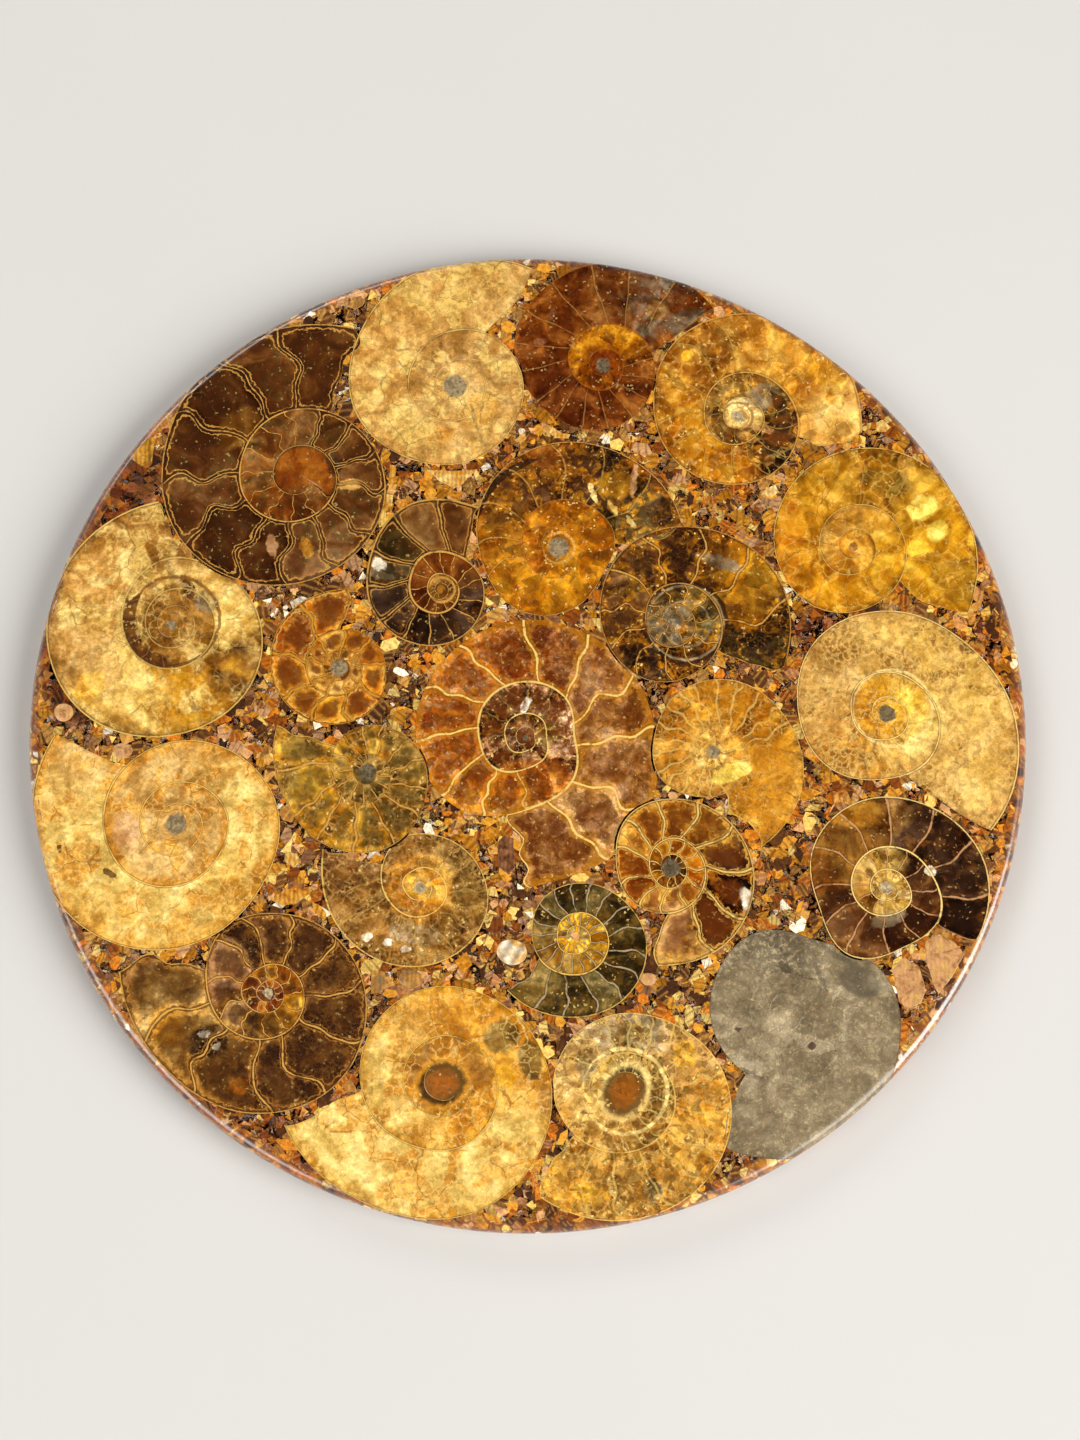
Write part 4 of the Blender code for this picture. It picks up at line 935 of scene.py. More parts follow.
class ShellFinish(Finish):
    """Polished fossil shell: colours along the spiral, mineral-filled chambers and their walls."""

    def __init__(self, name, shell):
        super().__init__(name)
        self.shell = shell
        self.septum, self.whorl, self.tint = self.attribute("place")
        self.chamber, self.side, self.age = self.attribute("cell")
        self.ripple = self.number("SUBTRACT", self.noise("ripple"), 0.5)
        self.drift = self.number("SUBTRACT", self.noise("drift"), 0.5)
        self.stain = self.clouds(shell["patch"], *STAIN_NOISE).outputs["Fac"]
        self.fine = self.noise("fine")
        self.ragged = self.warp("ragged")
        self.fading = self.band(self.stain, 0.36, 0.46, 0.35, 1.0)

    def lay_colours(self):
        """Colours along the spiral, patches of the second colour, and each chamber's own shade."""
        shell, strong = self.shell, self.shell["line"][2]
        older = self.shifted(self.shifted(self.age, self.drift, 0.22), self.ripple, 0.06)
        self.colour = self.ramp(self.number("DIVIDE", older, AGE_SPAN),
                                [(turns / AGE_SPAN, shade) for turns, shade in shell["ages"]])
        patch_tone, share = shell["second"]
        edge = 0.5 + 0.22 * (0.5 - share)
        self.paint(patch_tone, self.band(self.stain, edge - 0.04, edge + 0.08, 0.0, 0.75))
        self.soak(self.chamber, 1 + 0.34 * strong, 1 - 0.24 * strong)
        self.shade(self.chamber, 1 - 0.30 * strong, 1 + 0.28 * strong)
        if "rind" in shell:
            rind_tone, depth, strength = shell["rind"]
            near = self.band(self.shifted(self.whorl, self.drift, 8.0), 0.0, depth, strength, 0.0)
            self.paint(rind_tone, near, self.band(self.side, *OUTER_SIDE))
        if "core_tone" in shell:
            self.paint(shell["core_tone"], self.band(self.side, 0.02, 0.12))
        wander = self.warp("spots")
        for spot in shell.get("spots", ()):
            self.blotch(wander, spot)

    def fill_with_mineral(self):
        """How deep the light goes into the mineral, and its veins."""
        shell, lively = self.shell, self.shell["lively"]
        deep = self.full_noise("deep")
        self.soak(deep, 1 - 0.16 * lively, 1 + 0.20 * lively)
        self.shade(deep, 1 + 0.22 * lively, 1 - 0.24 * lively)
        swing = lively * (0.12 + 0.14 * shell["grain"])
        self.shade(self.full_noise("soft"), 1 - swing, 1 + swing)
        if "net" in shell:
            size, width, net_tone, strength = shell["net"]
            seam = self.seams(self.warp("net"), 1 / size)
            drawn = self.band(seam, width * 0.6, width * 2.4, strength, 0.0)
            self.paint(net_tone, drawn, self.band(self.stain, 0.44, 0.54, 0.2, 1.0))

    def set_parts(self):
        """Parts of rings, and a window in the middle, its darkening towards the edge painted shade."""
        if "arcs" in self.shell:
            wander = self.warp("arcs")
            for arc in self.shell["arcs"]:
                self.arc(wander, arc)
        if "hole" in self.shell:
            # Painted shade and light of the hollow: rings from dark at the edge to amber in the middle.
            middle, (long_half, short_half), turn, ring_tone = self.shell["hole"]
            for scale, stain in ((1.28, ring_tone), *WINDOW_SHADE_RINGS):
                half_sizes = (long_half * scale, short_half * scale)
                self.blotch(self.ragged, (*middle, *half_sizes, turn, stain, 0.92))

    def grow_crystals(self):
        """Crystals and grain over all of it, and a few facets painted pale cream as glints: painted
        highlights.
        """
        strength, size = self.shell["crystal"]
        grain = self.shell["grain"]
        bent = self.warp("crystals")
        self.facet = self.facets(bent, 1 / size)[0]
        self.shade(self.facet, 1 - 1.1 * strength, 1 + 1.1 * strength)
        self.shade(self.fine, 0.80 - 0.5 * grain, 1.20 + 0.5 * grain)
        # Painted highlights: a few facets, where the stain allows, are painted pale cream as glints.
        painted_glint = self.facets(bent, PAINTED_GLINTS_PER_MM)[2]
        painted_glint = self.band(painted_glint, 0.93, 0.95, 0.0, min(1.0, 2.2 * strength))
        self.paint(PALE_CREAM, painted_glint, self.band(self.stain, 0.46, 0.58))

    def line_chambers(self):
        """A chamber's heart, and the lining that runs round it as a closed loop."""
        shell = self.shell
        septum, whorl = (self.number("MAXIMUM", self.shifted(away, self.ripple, shell["uneven"]), 0.01)
                         for away in (self.septum, self.whorl))
        squares = self.number("ADD", self.number("POWER", septum, 2.0), self.number("POWER", whorl, 2.0))
        inset = self.number("DIVIDE", self.times(septum, whorl), self.number("SQRT", squares))
        heart_tone, heart = shell["heart"]
        deeper = self.number("SUBTRACT", inset, self.spread(self.tint, 0.7, 1.5))
        self.paint(heart_tone, self.band(deeper, 0.0, 1.1, 0.0, heart))
        if "loop" in shell:
            away, width, loop_tone, strength, until = shell["loop"]
            gap_tone, darkness = shell["gap"]
            chambered = self.band(self.age, until, until + 0.06, 1.0, 0.0)
            between = self.band(inset, away * 0.85, away, darkness, 0.0)
            self.paint(gap_tone, chambered, between)
            drawn = self.band(self.off(inset, away), width * 0.5, width, strength, 0.0)
            self.paint(loop_tone, chambered, drawn, self.fading)

    def scatter_flecks(self):
        """Pale flecks, and cracks."""
        fleck = self.band(self.noise("fleck"), 0.72, 0.76, 0.0, 0.25 + 0.5 * self.shell["grain"])
        self.paint(SAND, fleck, self.band(self.stain, 0.44, 0.52))
        crack = self.band(self.seams(self.warp("cracks"), CRACKS_PER_MM), 0.018, 0.008)
        self.paint(BROWN, crack, self.band(self.stain, 0.48, 0.56), 0.5)

    def draw_walls(self):
        """Walls between chambers and between whorls."""
        shell = self.shell
        wall_tone, width, strength = shell["line"]
        until = shell["line_reach"]
        shown = self.times(self.band(self.age, until, until + 0.1, strength, 0.0),
                           self.band(self.age, *FIRST_TURN, 1.0, shell["inner_line"]))
        self.draw_wall(self.shifted(self.septum, self.ripple, 0.45), width, shown, wall_tone,
                       2.4, 0.45, 1.0)
        inner = self.number("MAXIMUM", self.band(self.age, *FIRST_TURN),
                            self.band(self.side, *OUTER_SIDE, 1.0, 0.0))
        shown = self.spread(inner, shell["outer_ring"], shell["inner_ring"])
        self.draw_wall(self.shifted(self.whorl, self.ripple, 0.30), shell["whorl_line"], shown,
                       shell.get("whorl_tone", wall_tone), 2.2, 0.5, 0.9)

    def draw_wall(self, away, width, shown, wall_tone, edge, middle, strength):
        """Draw one kind of wall: edge and middle are how many widths its dark edge and its plain
        middle reach, and strength is that of the middle."""
        dark = self.band(away, width * 0.9, width * edge, self.shell["edge"], 0.0)
        self.paint(DARK_BROWN, shown, dark)
        light = self.band(away, width * middle, width * 0.95, strength, 0.0)
        self.paint(wall_tone, shown, light, self.fading)

    def polish(self):
        """The crystal-lined dot in the middle, its crystals made brighter and darker one by one as painted
        sparkles, and the polish of the whole.
        """
        shell = self.shell
        if shell["dot"]:
            # Painted sparkles: each crystal of the lining gets its own brightness, as if some caught the
            # light.
            painted_sparkle = self.facets(self.place, SPARKLES_PER_MM)[1]
            drusy = self.dim(shell["dot_tone"], self.spread(painted_sparkle, 0.55, 1.6))
            self.blotch(self.ragged, (*shell["centre"], shell["dot"], shell["dot"], 0, drusy, 0.95))
        dull = 0.5 * shell["dull"]
        rough = self.spread(self.fine, 0.10 + dull, 0.20 + dull)
        return self.close(rough, self.shifted(self.fine, self.facet, 0.6),
                          0.012 + 0.04 * shell["grain"] ** 2, Coat_Weight=0.5, Coat_Roughness=0.06)


def shell_finish(name, shell):
    """The finish of one shell, painted from the deepest layer to the surface."""
    finish = ShellFinish(name, shell)
    finish.lay_colours()
    finish.fill_with_mineral()
    finish.set_parts()
    finish.grow_crystals()
    finish.line_chambers()
    finish.scatter_flecks()
    finish.draw_walls()
    return finish.polish()


def stone_finish(name, tones, spacing=0.9, stripes=0.0, turn=0.0):
    """Broken shell and pebbles: mottled tones, thin layers and crystals."""
    finish = Finish(name)
    fine = finish.noise("stone_grain")
    finish.colour = finish.ramp(finish.noise("stone_cloud"),
                                [(0.36 + 0.28 * index / (len(tones) - 1), shade)
                                 for index, shade in enumerate(tones)])
    along = finish.add("ShaderNodeMapping", {"Vector": finish.warp("layers"),
                                             "Rotation": (0.0, 0.0, math.radians(turn))})
    across = finish.split(along.outputs["Vector"])[0]
    layers = finish.number("SINE", finish.times(across, 2 * math.pi / spacing))
    finish.shade(layers, 1 - 0.5 * stripes, 1.0 + 0.2 * stripes)
    finish.shade(finish.facets(finish.place, 1.4)[0], 0.86, 1.14)
    finish.shade(fine, 0.62, 1.38)
    return finish.close(finish.spread(fine, 0.22, 0.38), fine, 0.03, Coat_Weight=0.3, Coat_Roughness=0.12)


# Colours of the crushed stone, with the share of the chips up to which each is used.
CHIP_TONES = (
    (0.00, UMBER), (0.09, AMBER), (0.21, GOLD), (0.29, HONEY), (0.40, BROWN), (0.49, BEIGE),
    (0.58, PINK_BEIGE), (0.66, CREAM), (0.73, TAN), (0.82, ORANGE), (0.89, ROSE_BROWN), (0.95, STRAW),
    (0.98, IVORY),
)
# Places where the filling differs: centre, half sizes, turn, tint and strength.
TINTED_PLACES = (
    (92, -6, 9, 50, 4, PALE_CREAM, 0.5), (-92, 10, 7, 12, 10, RUST, 0.8),
    (-85, 46, 8, 16, -30, TAN, 0.8), (-56, -80, 20, 8, -36, PINK_BEIGE, 0.5),
    (58, 19, 6, 6, 0, ROSE_BROWN, 0.8),
)


def colour_stone(finish, pick, layer_pick, wave, painted_brightness):
    """Paint crushed shell: a tone for every chip, thin layers, tinted places and crystals."""
    fine = finish.noise("chip_grain")
    finish.colour = finish.ramp(pick, CHIP_TONES, "CONSTANT")
    wave = finish.number("SINE", finish.shifted(wave, fine, 2.2))
    finish.paint(SAND, finish.band(wave, 0.1, 0.9), finish.band(layer_pick, 0.4, 0.5), 0.30)
    finish.paint(DARK_BROWN, finish.band(wave, -0.3, -0.9), finish.band(layer_pick, 0.7, 0.6), 0.45)
    finish.shade(layer_pick, 0.62, 1.22)
    wander = finish.warp("tints")
    for *place, tint, strength in TINTED_PLACES:
        tinted = finish.mix(1.0, finish.colour, tint, "MULTIPLY")
        finish.blotch(wander, (*place, tinted, strength))
    facet = finish.facets(finish.place, SPARKLES_PER_MM)[0]
    # The facets are scaled by the layer's factor: painted light that brightens the deep layer.
    finish.shade(facet, 0.70 * painted_brightness, 1.26 * painted_brightness)
    finish.shade(fine, 0.45, 1.55)
    return fine


def filling_finish(name, painted_brightness):
    """Crushed shell, told apart chip by chip."""
    finish = Finish(name)
    pick, layer_pick, _ = finish.attribute("chip")
    local_x, local_y, _ = finish.attribute("local")
    wave = finish.shifted(finish.times(local_x, 9.0), local_y, 3.0)
    fine = colour_stone(finish, pick, layer_pick, wave, painted_brightness)
    return finish.close(finish.spread(fine, 0.2, 0.4), fine, 0.03, Coat_Weight=0.5, Coat_Roughness=0.08)


def rim_finish():
    """The rim: chips cut through and polished, with dark amber between them."""
    finish = Finish("polished_rim")
    bent = finish.warp("layers")
    pick, layer_pick, turn = finish.facets(bent, RIM_CHIPS_PER_MM)
    x, y, _ = finish.split(bent)
    wave = finish.shifted(finish.times(finish.number("ADD", x, y), 5.0), turn, 9.0)
    fine = colour_stone(finish, pick, layer_pick, wave, 1.0)
    amber = finish.ramp(finish.noise("rim_amber"), [(0.35, UMBER), (0.5, RUST), (0.65, GOLD)])
    finish.paint(amber, finish.band(finish.seams(bent, RIM_CHIPS_PER_MM), 0.04, 0.16, 0.9, 0.0))
    return finish.close(finish.spread(fine, 0.28, 0.4), fine, 0.004, Coat_Weight=1.0,
                        Coat_Roughness=0.24, Coat_IOR=1.8)


def resin_finish():
    """Clear amber resin that darkens with depth."""
    resin = bpy.context.scene.resin
    finish = Finish("amber_resin")
    swirl = finish.noise("resin_swirl")
    bump = finish.add("ShaderNodeBump", {"Height": swirl, "Distance": 0.08 * MM, "Strength": 0.5})
    inputs = {"Base Color": (1.0, 1.0, 1.0, 1.0), "Roughness": resin.roughness, "IOR": resin.ior,
              "Transmission Weight": 1.0, "Normal": bump.outputs[0]}
    shader = finish.add("ShaderNodeBsdfPrincipled", inputs)
    depth = finish.add("ShaderNodeVolumeAbsorption", {"Color": (*resin.tint, 1.0),
                                                      "Density": resin.density})
    finish.add("ShaderNodeOutputMaterial", {"Surface": shader.outputs[0], "Volume": depth.outputs[0]})
    return finish.material


def floor_finish():
    """Plain pale floor."""
    finish = Finish("pale_floor")
    cloud = finish.noise("floor")
    finish.colour = (*bpy.context.scene.stage.floor_tone, 1.0)
    finish.shade(cloud, 0.985, 1.015)
    return finish.close(finish.spread(cloud, 0.7, 0.8), cloud, 0.01)


# ----- Making pieces -----
SMOOTH_LIMIT = math.radians(32)
QUARTER_STEPS = 10
RIM_OVERLAP = 0.4 * MM
RIM_FLAT = 0.3 * MM
CHIP_BEVEL = 0.12 * MM
PEBBLE_BEVEL = 0.2 * MM
PEBBLE_SIDES = 40
BREAK_STEP = 0.45
BREAK_WANDER = 0.07


def show(name, mesh, material, node=None):
    """Put a finished mesh in the scene as a piece that rides on the plate."""
    mesh.name = name
    mesh.materials.clear()
    mesh.materials.append(material)
    piece = bpy.data.objects.new(name, mesh)
    bpy.context.scene.collection.objects.link(piece)
    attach(piece, BODY)
    if node:
        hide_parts(node)


def smooth(mesh):
    """Shade a mesh smooth, with its sharp edges kept."""
    mesh.shade_smooth()
    mesh.set_sharp_from_angle(angle=SMOOTH_LIMIT)
    return mesh


def resin_profile():
    """Half section of the clear middle of the plate."""
    radius = PLATE_RADIUS - bpy.context.scene.plate.rim_width
    return [(radius * 0.99, SEAL), (radius, SEAL), (radius, PLATE_TOP), (radius * 0.99, PLATE_TOP)]


def rim_profile():
    """Closed section of the rim, from the underside outwards, up and back in."""
    plate = bpy.context.scene.plate
    rim_round = plate.rim_round
    shoulder = PLATE_RADIUS - rim_round
    inner = PLATE_RADIUS - plate.rim_width - RIM_OVERLAP
    turns = [math.pi / 2 * step / QUARTER_STEPS for step in range(QUARTER_STEPS + 1)]
    lower = [(shoulder + rim_round * math.sin(turn), rim_round * (1 - math.cos(turn))) for turn in turns]
    upper = [(shoulder + rim_round * math.cos(turn), PLATE_TOP - rim_round * (1 - math.sin(turn)))
             for turn in turns]
    return [(inner, 0.01 * MM), (shoulder - RIM_FLAT, 0.0), *lower, *upper,
            (shoulder - RIM_FLAT, PLATE_TOP), (inner, PLATE_TOP + 0.001 * MM)]


def stacked(name, rings, looped=False):
    """A closed mesh through rings of points: with both ends capped, or joined last ring to first."""
    count = len(rings[0])
    levels = [range(start, start + count) for start in range(0, len(rings) * count, count)]
    faces = [] if looped else [tuple(reversed(levels[0]))]
    for lower, upper in zip(levels, levels[1:] + levels[:looped]):
        faces += strip(lower, upper)
    if not looped:
        faces.append(tuple(levels[-1]))
    return new_mesh(name, [tuple(point) for ring in rings for point in ring], faces)


def turned(name, section, looped=False):
    """A closed mesh turned round the plate's axis from a section of radii and heights."""
    segments = bpy.context.scene.plate.rim_segments
    angles = [2 * math.pi * index / segments for index in range(segments)]
    rings = [[(radius * math.cos(angle), radius * math.sin(angle), height) for angle in angles]
             for radius, height in section]
    return stacked(name, rings, looped)


def prism(name, outline, bevel):
    """A closed stone with its upper edge bevelled, from its seat to just above the plate."""
    high = PLATE_TOP + bpy.context.scene.plate.stone_proud
    inward = np.mean(outline, axis=0) - outline
    inward /= np.linalg.norm(inward, axis=1)[:, None]
    levels = ((0.0, STONE_SEAT), (0.0, high - bevel), (bevel * 0.35, high - bevel * 0.3), (bevel, high))
    return stacked(name, [[(x, y, height) for x, y in outline + inward * inset]
                          for inset, height in levels])


def rough_outline(corners, rng):
    """A polygon's edge broken into short steps that wander a little, in metres."""
    corners = np.array(corners, float)
    area = np.sum(corners[:, 0] * np.roll(corners[:, 1], -1) - corners[:, 1] * np.roll(corners[:, 0], -1))
    if area < 0:
        corners = corners[::-1]
    points = []
    for start, end in zip(corners, np.roll(corners, -1, axis=0)):
        length = np.linalg.norm(end - start)
        pieces = max(1, int(round(length / BREAK_STEP)))
        across = np.array([end[1] - start[1], start[0] - end[0]]) / length
        for piece in range(pieces):
            wander = rng.normal(0, BREAK_WANDER) if piece else 0
            points.append(start + (end - start) * piece / pieces - across * abs(wander))
    return np.array(points) * MM


# The large chips: colour slot, finish, and corners in millimetres.
LARGE_CHIPS = {
    "chip_cream_wedge": ("cream", "cream_shell", (
        (-20.8, 53.2), (-18.3, 50.8), (-15.1, 49.1), (-13.1, 50.2), (-10.6, 53.2), (-15.5, 53.0))),
    "chip_cream_shard": ("cream", "cream_shell", (
        (4.4, 61.2), (5.5, 59.9), (8.4, 59.9), (8.8, 60.8), (6.9, 61.2), (5.0, 62.5))),
    "chip_orange_bar": ("orange", "orange_shell", (
        (-28.6, 49.9), (-27.1, 50.0), (-26.9, 54.2), (-28.3, 54.3))),
    "chip_small_cream": ("cream", "cream_shell", (
        (-29.1, 45.3), (-27.7, 45.3), (-27.5, 47.9), (-28.9, 48.0))),
    "chip_red_brown": ("red_brown", "red_brown_shell", (
        (-7.9, -41.8), (-6.2, -42.6), (-4.6, -41.4), (-4.9, -39.4), (-6.8, -38.8))),
    "chip_purple_block": ("plum", "plum_shell", (
        (-5.9, -29.2), (-3.6, -30.8), (-2.4, -29.2), (-2.8, -23.4), (-4.7, -22.6), (-6.1, -24.2))),
    "chip_tan_chunk": ("tan", "tan_stone", (
        (-30.7, -54.2), (-28.8, -54.2), (-27.1, -52.0), (-28.0, -49.8), (-30.8, -49.4))),
    "chip_cream_right_rim": ("cream", "cream_shell", (
        (71.4, 61.4), (73.6, 61.2), (74.8, 62.4), (73.2, 64.0), (71.6, 63.4))),
    "chip_white": ("cream", "white_shell", (
        (47.6, 47.8), (49.9, 47.2), (51.4, 48.4), (50.8, 50.0), (48.8, 49.4))),
    "chip_pale_top_rim": ("tan", "tan_stone", (
        (-37.8, 88.9), (-36.0, 88.0), (-34.4, 88.8), (-33.8, 90.2), (-34.8, 91.2), (-36.6, 90.8))),
    "chip_pink_cell": ("pink_tan", "pink_shell", (
        (72.4, -55.4), (73.9, -57.4), (76.9, -56.0), (78.0, -53.4), (76.7, -48.8), (73.8, -46.9),
        (71.2, -49.4))),
    "chip_tan_cell": ("pink_tan", "pink_shell", (
        (77.9, -47.7), (79.3, -52.4), (80.2, -54.4), (83.0, -51.0), (85.8, -46.2), (83.6, -43.9),
        (80.8, -42.4), (77.9, -43.8))),
    "chip_yellow_green": ("olive", "olive_shell", (
        (-79.2, 53.8), (-77.0, 54.9), (-76.7, 58.4), (-77.8, 60.4), (-80.6, 57.4), (-81.2, 55.4))),
    "chip_orange_wedge": ("orange", "orange_shell", (
        (-50.8, -35.6), (-48.4, -37.0), (-45.6, -36.4), (-42.9, -34.5), (-43.0, -33.0),
        (-47.9, -33.4))),
    "chip_cream_crescent": ("cream", "cream_shell", (
        (-48.2, -28.0), (-46.2, -29.4), (-44.8, -28.0), (-45.6, -26.4), (-48.0, -25.8))),
}

# The rounded pebbles: colour slot, finish, centre, and half length and width in millimetres.
PEBBLES = {
    "pebble_pink": ("pink_tan", "pink_shell", (-93.0, 2.2), (2.0, 2.0)),
    "pebble_pale_left": ("pink_tan", "pink_shell", (-80.9, -5.7), (2.1, 1.7)),
    "pebble_round_grey": ("tan", "tan_stone", (-22.9, -51.3), (2.4, 2.0)),
    "pebble_striped": ("cream", "striped_pebble", (-3.1, -46.0), (3.1, 2.6)),
    "pebble_rose": ("pink_tan", "pink_shell", (23.6, -51.3), (1.6, 1.4)),
}

# Tones of the loose stones, from their darker to their lighter clouds, and their layers.
STONE_TONES = {
    "cream_shell": dict(tones=(HONEY, SAND, PALE_CREAM), stripes=0.3),
    "white_shell": dict(tones=(PINK_BEIGE, STRAW, IVORY), stripes=0.2),
    "orange_shell": dict(tones=(AMBER, HONEY, SAND), stripes=0.3),
    "red_brown_shell": dict(tones=(RED_BROWN, RUST), stripes=0.3),
    "plum_shell": dict(tones=(UMBER, ROSE_BROWN), stripes=0.3),
    "tan_stone": dict(tones=(WARM_GREY, TAN, BEIGE), stripes=0.2),
    "pink_shell": dict(tones=(TAN, PINK_BEIGE, FAWN), stripes=0.1),
    "olive_shell": dict(tones=(OLIVE, MUSTARD, SAND), stripes=0.3),
    "striped_pebble": dict(tones=(SAND, IVORY), stripes=0.4, spacing=2.2, turn=30.0),
}


# ----- Crushed stone filling -----
EMITTER_CELL = 0.8 * MM
DENSEST = 4.0e6
CHIP_SIDES = (6, 5, 4, 3)
CHIP_DEPTH = 1.3
# Chip sizes, as shares of the mean: the smallest, how much larger the largest, and how rare it is.
LEAST_SIZE = 0.55
SIZE_RANGE = 1.5
SIZE_POWER = 2.6
CHIP_STRETCH = ((0.65, 0.45, 0.8), (1.35, 1.0, 1.2))
CHIP_TILT = 0.35
BREAKS_PER_METRE = 1300.0
LEAST_LIFT = 0.004 * MM
TINY = 1e-9
# A random value node's sockets for each kind of number: the first of its two ends, and its result.
RANDOM_SOCKETS = {"FLOAT_VECTOR": (0, 0), "FLOAT": (2, 1), "INT": (4, 2)}
# Layers of the filling: height they grow from, step of the seed, brightness, and the lowest level and
# the most above the plate that chips are ground to.
# Painted light: the deep layer's chips are coloured brighter, 1.3, to make up for the light the resin over
# them takes.
LAYERS = {
    "top": (PLATE_TOP - 0.45 * MM, 0, 1.0, 1.0 * MM, 0.03 * MM),
    "deep": (PLATE_TOP - 2.4 * MM, 1, 1.3, 1.0 * MM, 0.0),
    "back": (0.8 * MM, 3, 0.9, 0.03 * MM, 0.02 * MM),
}


def plate_cells(radius, start, end):
    """Centres of the small squares of the plate within a radius."""
    axis = np.arange(start, end, EMITTER_CELL)
    x, y = (grid.ravel() for grid in np.meshgrid(axis, axis))
    near = np.hypot(x, y) < radius
    return x[near], y[near]


def open_cells(radius, clearance):
    """Centres of the small squares of the plate that no shell covers."""
    x, y = plate_cells(radius, -radius, radius + EMITTER_CELL)
    free = np.full(x.shape, True)
    for shell in SHELLS.values():
        free &= ~inside_shell(shell, x, y, clearance)
    return x[free], y[free]


def flat_emitter(cells, height):
    """A sheet of small squares from which chips are grown."""
    half = EMITTER_CELL / 2
    corners = ((-half, -half), (half, -half), (half, half), (-half, half))
    points = [(x + dx, y + dy, height) for x, y in zip(*cells) for dx, dy in corners]
    return new_mesh("source", points, [range(start, start + 4) for start in range(0, len(points), 4)])


def crushed_stone_tree(material):
    """Geometry nodes that scatter angular chips over a surface, each with a tone of its own."""
    tree = bpy.data.node_groups.new("Crushed stone", "GeometryNodeTree")
    sockets = {}
    for label, kind in (("Geometry", "Geometry"), ("Spacing", "Float"), ("Chip size", "Float"),
                        ("Seed", "Int")):
        socket = tree.interface.new_socket(label, in_out="INPUT", socket_type="NodeSocket" + kind)
        sockets[label] = socket.identifier
    tree.interface.new_socket("Geometry", in_out="OUTPUT", socket_type="NodeSocketGeometry")
    enter = tree.nodes.new("NodeGroupInput").outputs
    leave = tree.nodes.new("NodeGroupOutput")

    def add(kind, inputs, **settings):
        """First output of a new node."""
        return add_node(tree, kind, inputs, settings).outputs[0]

    def chance(low, high, seed, kind="FLOAT_VECTOR"):
        """A random value or vector for each chip."""
        first, result = RANDOM_SOCKETS[kind]
        mixed = add("ShaderNodeMath", {0: enter["Seed"], 1: float(seed)}, operation="ADD")
        inputs = {first: low, first + 1: high, "Seed": mixed}
        return add_node(tree, "FunctionNodeRandomValue", inputs, {"data_type": kind}).outputs[result]

    scatter = add("GeometryNodeDistributePointsOnFaces",
                  {"Mesh": enter["Geometry"], "Distance Min": enter["Spacing"],
                   "Density Max": DENSEST, "Seed": enter["Seed"]}, distribute_method="POISSON")
    shapes = tree.nodes.new("GeometryNodeGeometryToInstance")
    for sides in CHIP_SIDES:
        chip = add("GeometryNodeMeshCylinder", {"Vertices": sides, "Radius": 1.0, "Depth": CHIP_DEPTH})
        tree.links.new(chip, shapes.inputs[0])
    here = tree.nodes.new("GeometryNodeInputPosition").outputs[0]
    local = add("GeometryNodeStoreNamedAttribute",
                {"Geometry": shapes.outputs[0], "Name": "local", "Value": here},
                data_type="FLOAT_VECTOR", domain="POINT")
    steep = add("ShaderNodeMath", {0: chance(0.0, 1.0, 11, "FLOAT"), 1: SIZE_POWER}, operation="POWER")
    grown = add("ShaderNodeMath", {0: steep, 1: SIZE_RANGE, 2: LEAST_SIZE}, operation="MULTIPLY_ADD")
    size = add("ShaderNodeMath", {0: grown, 1: enter["Chip size"]}, operation="MULTIPLY")
    scale = add("ShaderNodeVectorMath", {0: chance(*CHIP_STRETCH, 12), "Scale": size}, operation="SCALE")
    spin = chance((-CHIP_TILT, -CHIP_TILT, 0.0), (CHIP_TILT, CHIP_TILT, 6.283), 13)
    placed = add("GeometryNodeInstanceOnPoints",
                 {"Points": scatter, "Instance": local, "Pick Instance": True,
                  "Instance Index": chance(0, len(CHIP_SIDES) - 1, 14, "INT"),
                  "Rotation": spin, "Scale": scale})
    marked = add("GeometryNodeStoreNamedAttribute",
                 {"Geometry": placed, "Name": "chip", "Value": chance((0.0,) * 3, (1.0,) * 3, 15)},
                 data_type="FLOAT_VECTOR", domain="INSTANCE")
    real = add("GeometryNodeRealizeInstances", {"Geometry": marked})
    cloud = add_node(tree, "ShaderNodeTexNoise", {"Vector": here, "Scale": BREAKS_PER_METRE,
                                                  "Detail": 1.0}, {})
    centred = add("ShaderNodeVectorMath", {0: cloud.outputs["Color"], 1: (0.5, 0.5, 0.5)},
                  operation="SUBTRACT")
    moved = add("ShaderNodeVectorMath", {0: centred, "Scale": enter["Chip size"]}, operation="SCALE")
    broken = add("GeometryNodeSetPosition", {"Geometry": real, "Offset": moved})
    finished = add("GeometryNodeSetMaterial", {"Geometry": broken, "Material": material})
    tree.links.new(finished, leave.inputs[0])
    return tree, sockets


def grown_chips(emitter, spacing, size, seed, material):
    """Run the crushed stone nodes on an emitter and give back the plain mesh."""
    tree, sockets = crushed_stone_tree(material)
    source = bpy.data.objects.new("source", emitter)
    bpy.context.scene.collection.objects.link(source)
    modifier = source.modifiers.new("Crushed stone", "NODES")
    modifier.node_group = tree
    modifier[sockets["Spacing"]] = spacing
    modifier[sockets["Chip size"]] = size
    modifier[sockets["Seed"]] = seed
    evaluated = source.evaluated_get(bpy.context.evaluated_depsgraph_get())
    mesh = bpy.data.meshes.new_from_object(evaluated)
    source.modifiers.remove(modifier)
    bpy.data.objects.remove(source)
    bpy.data.meshes.remove(emitter)
    bpy.data.node_groups.remove(tree)
    if not mesh.vertices:
        raise RuntimeError(material.name + " grew no chips")
    return mesh


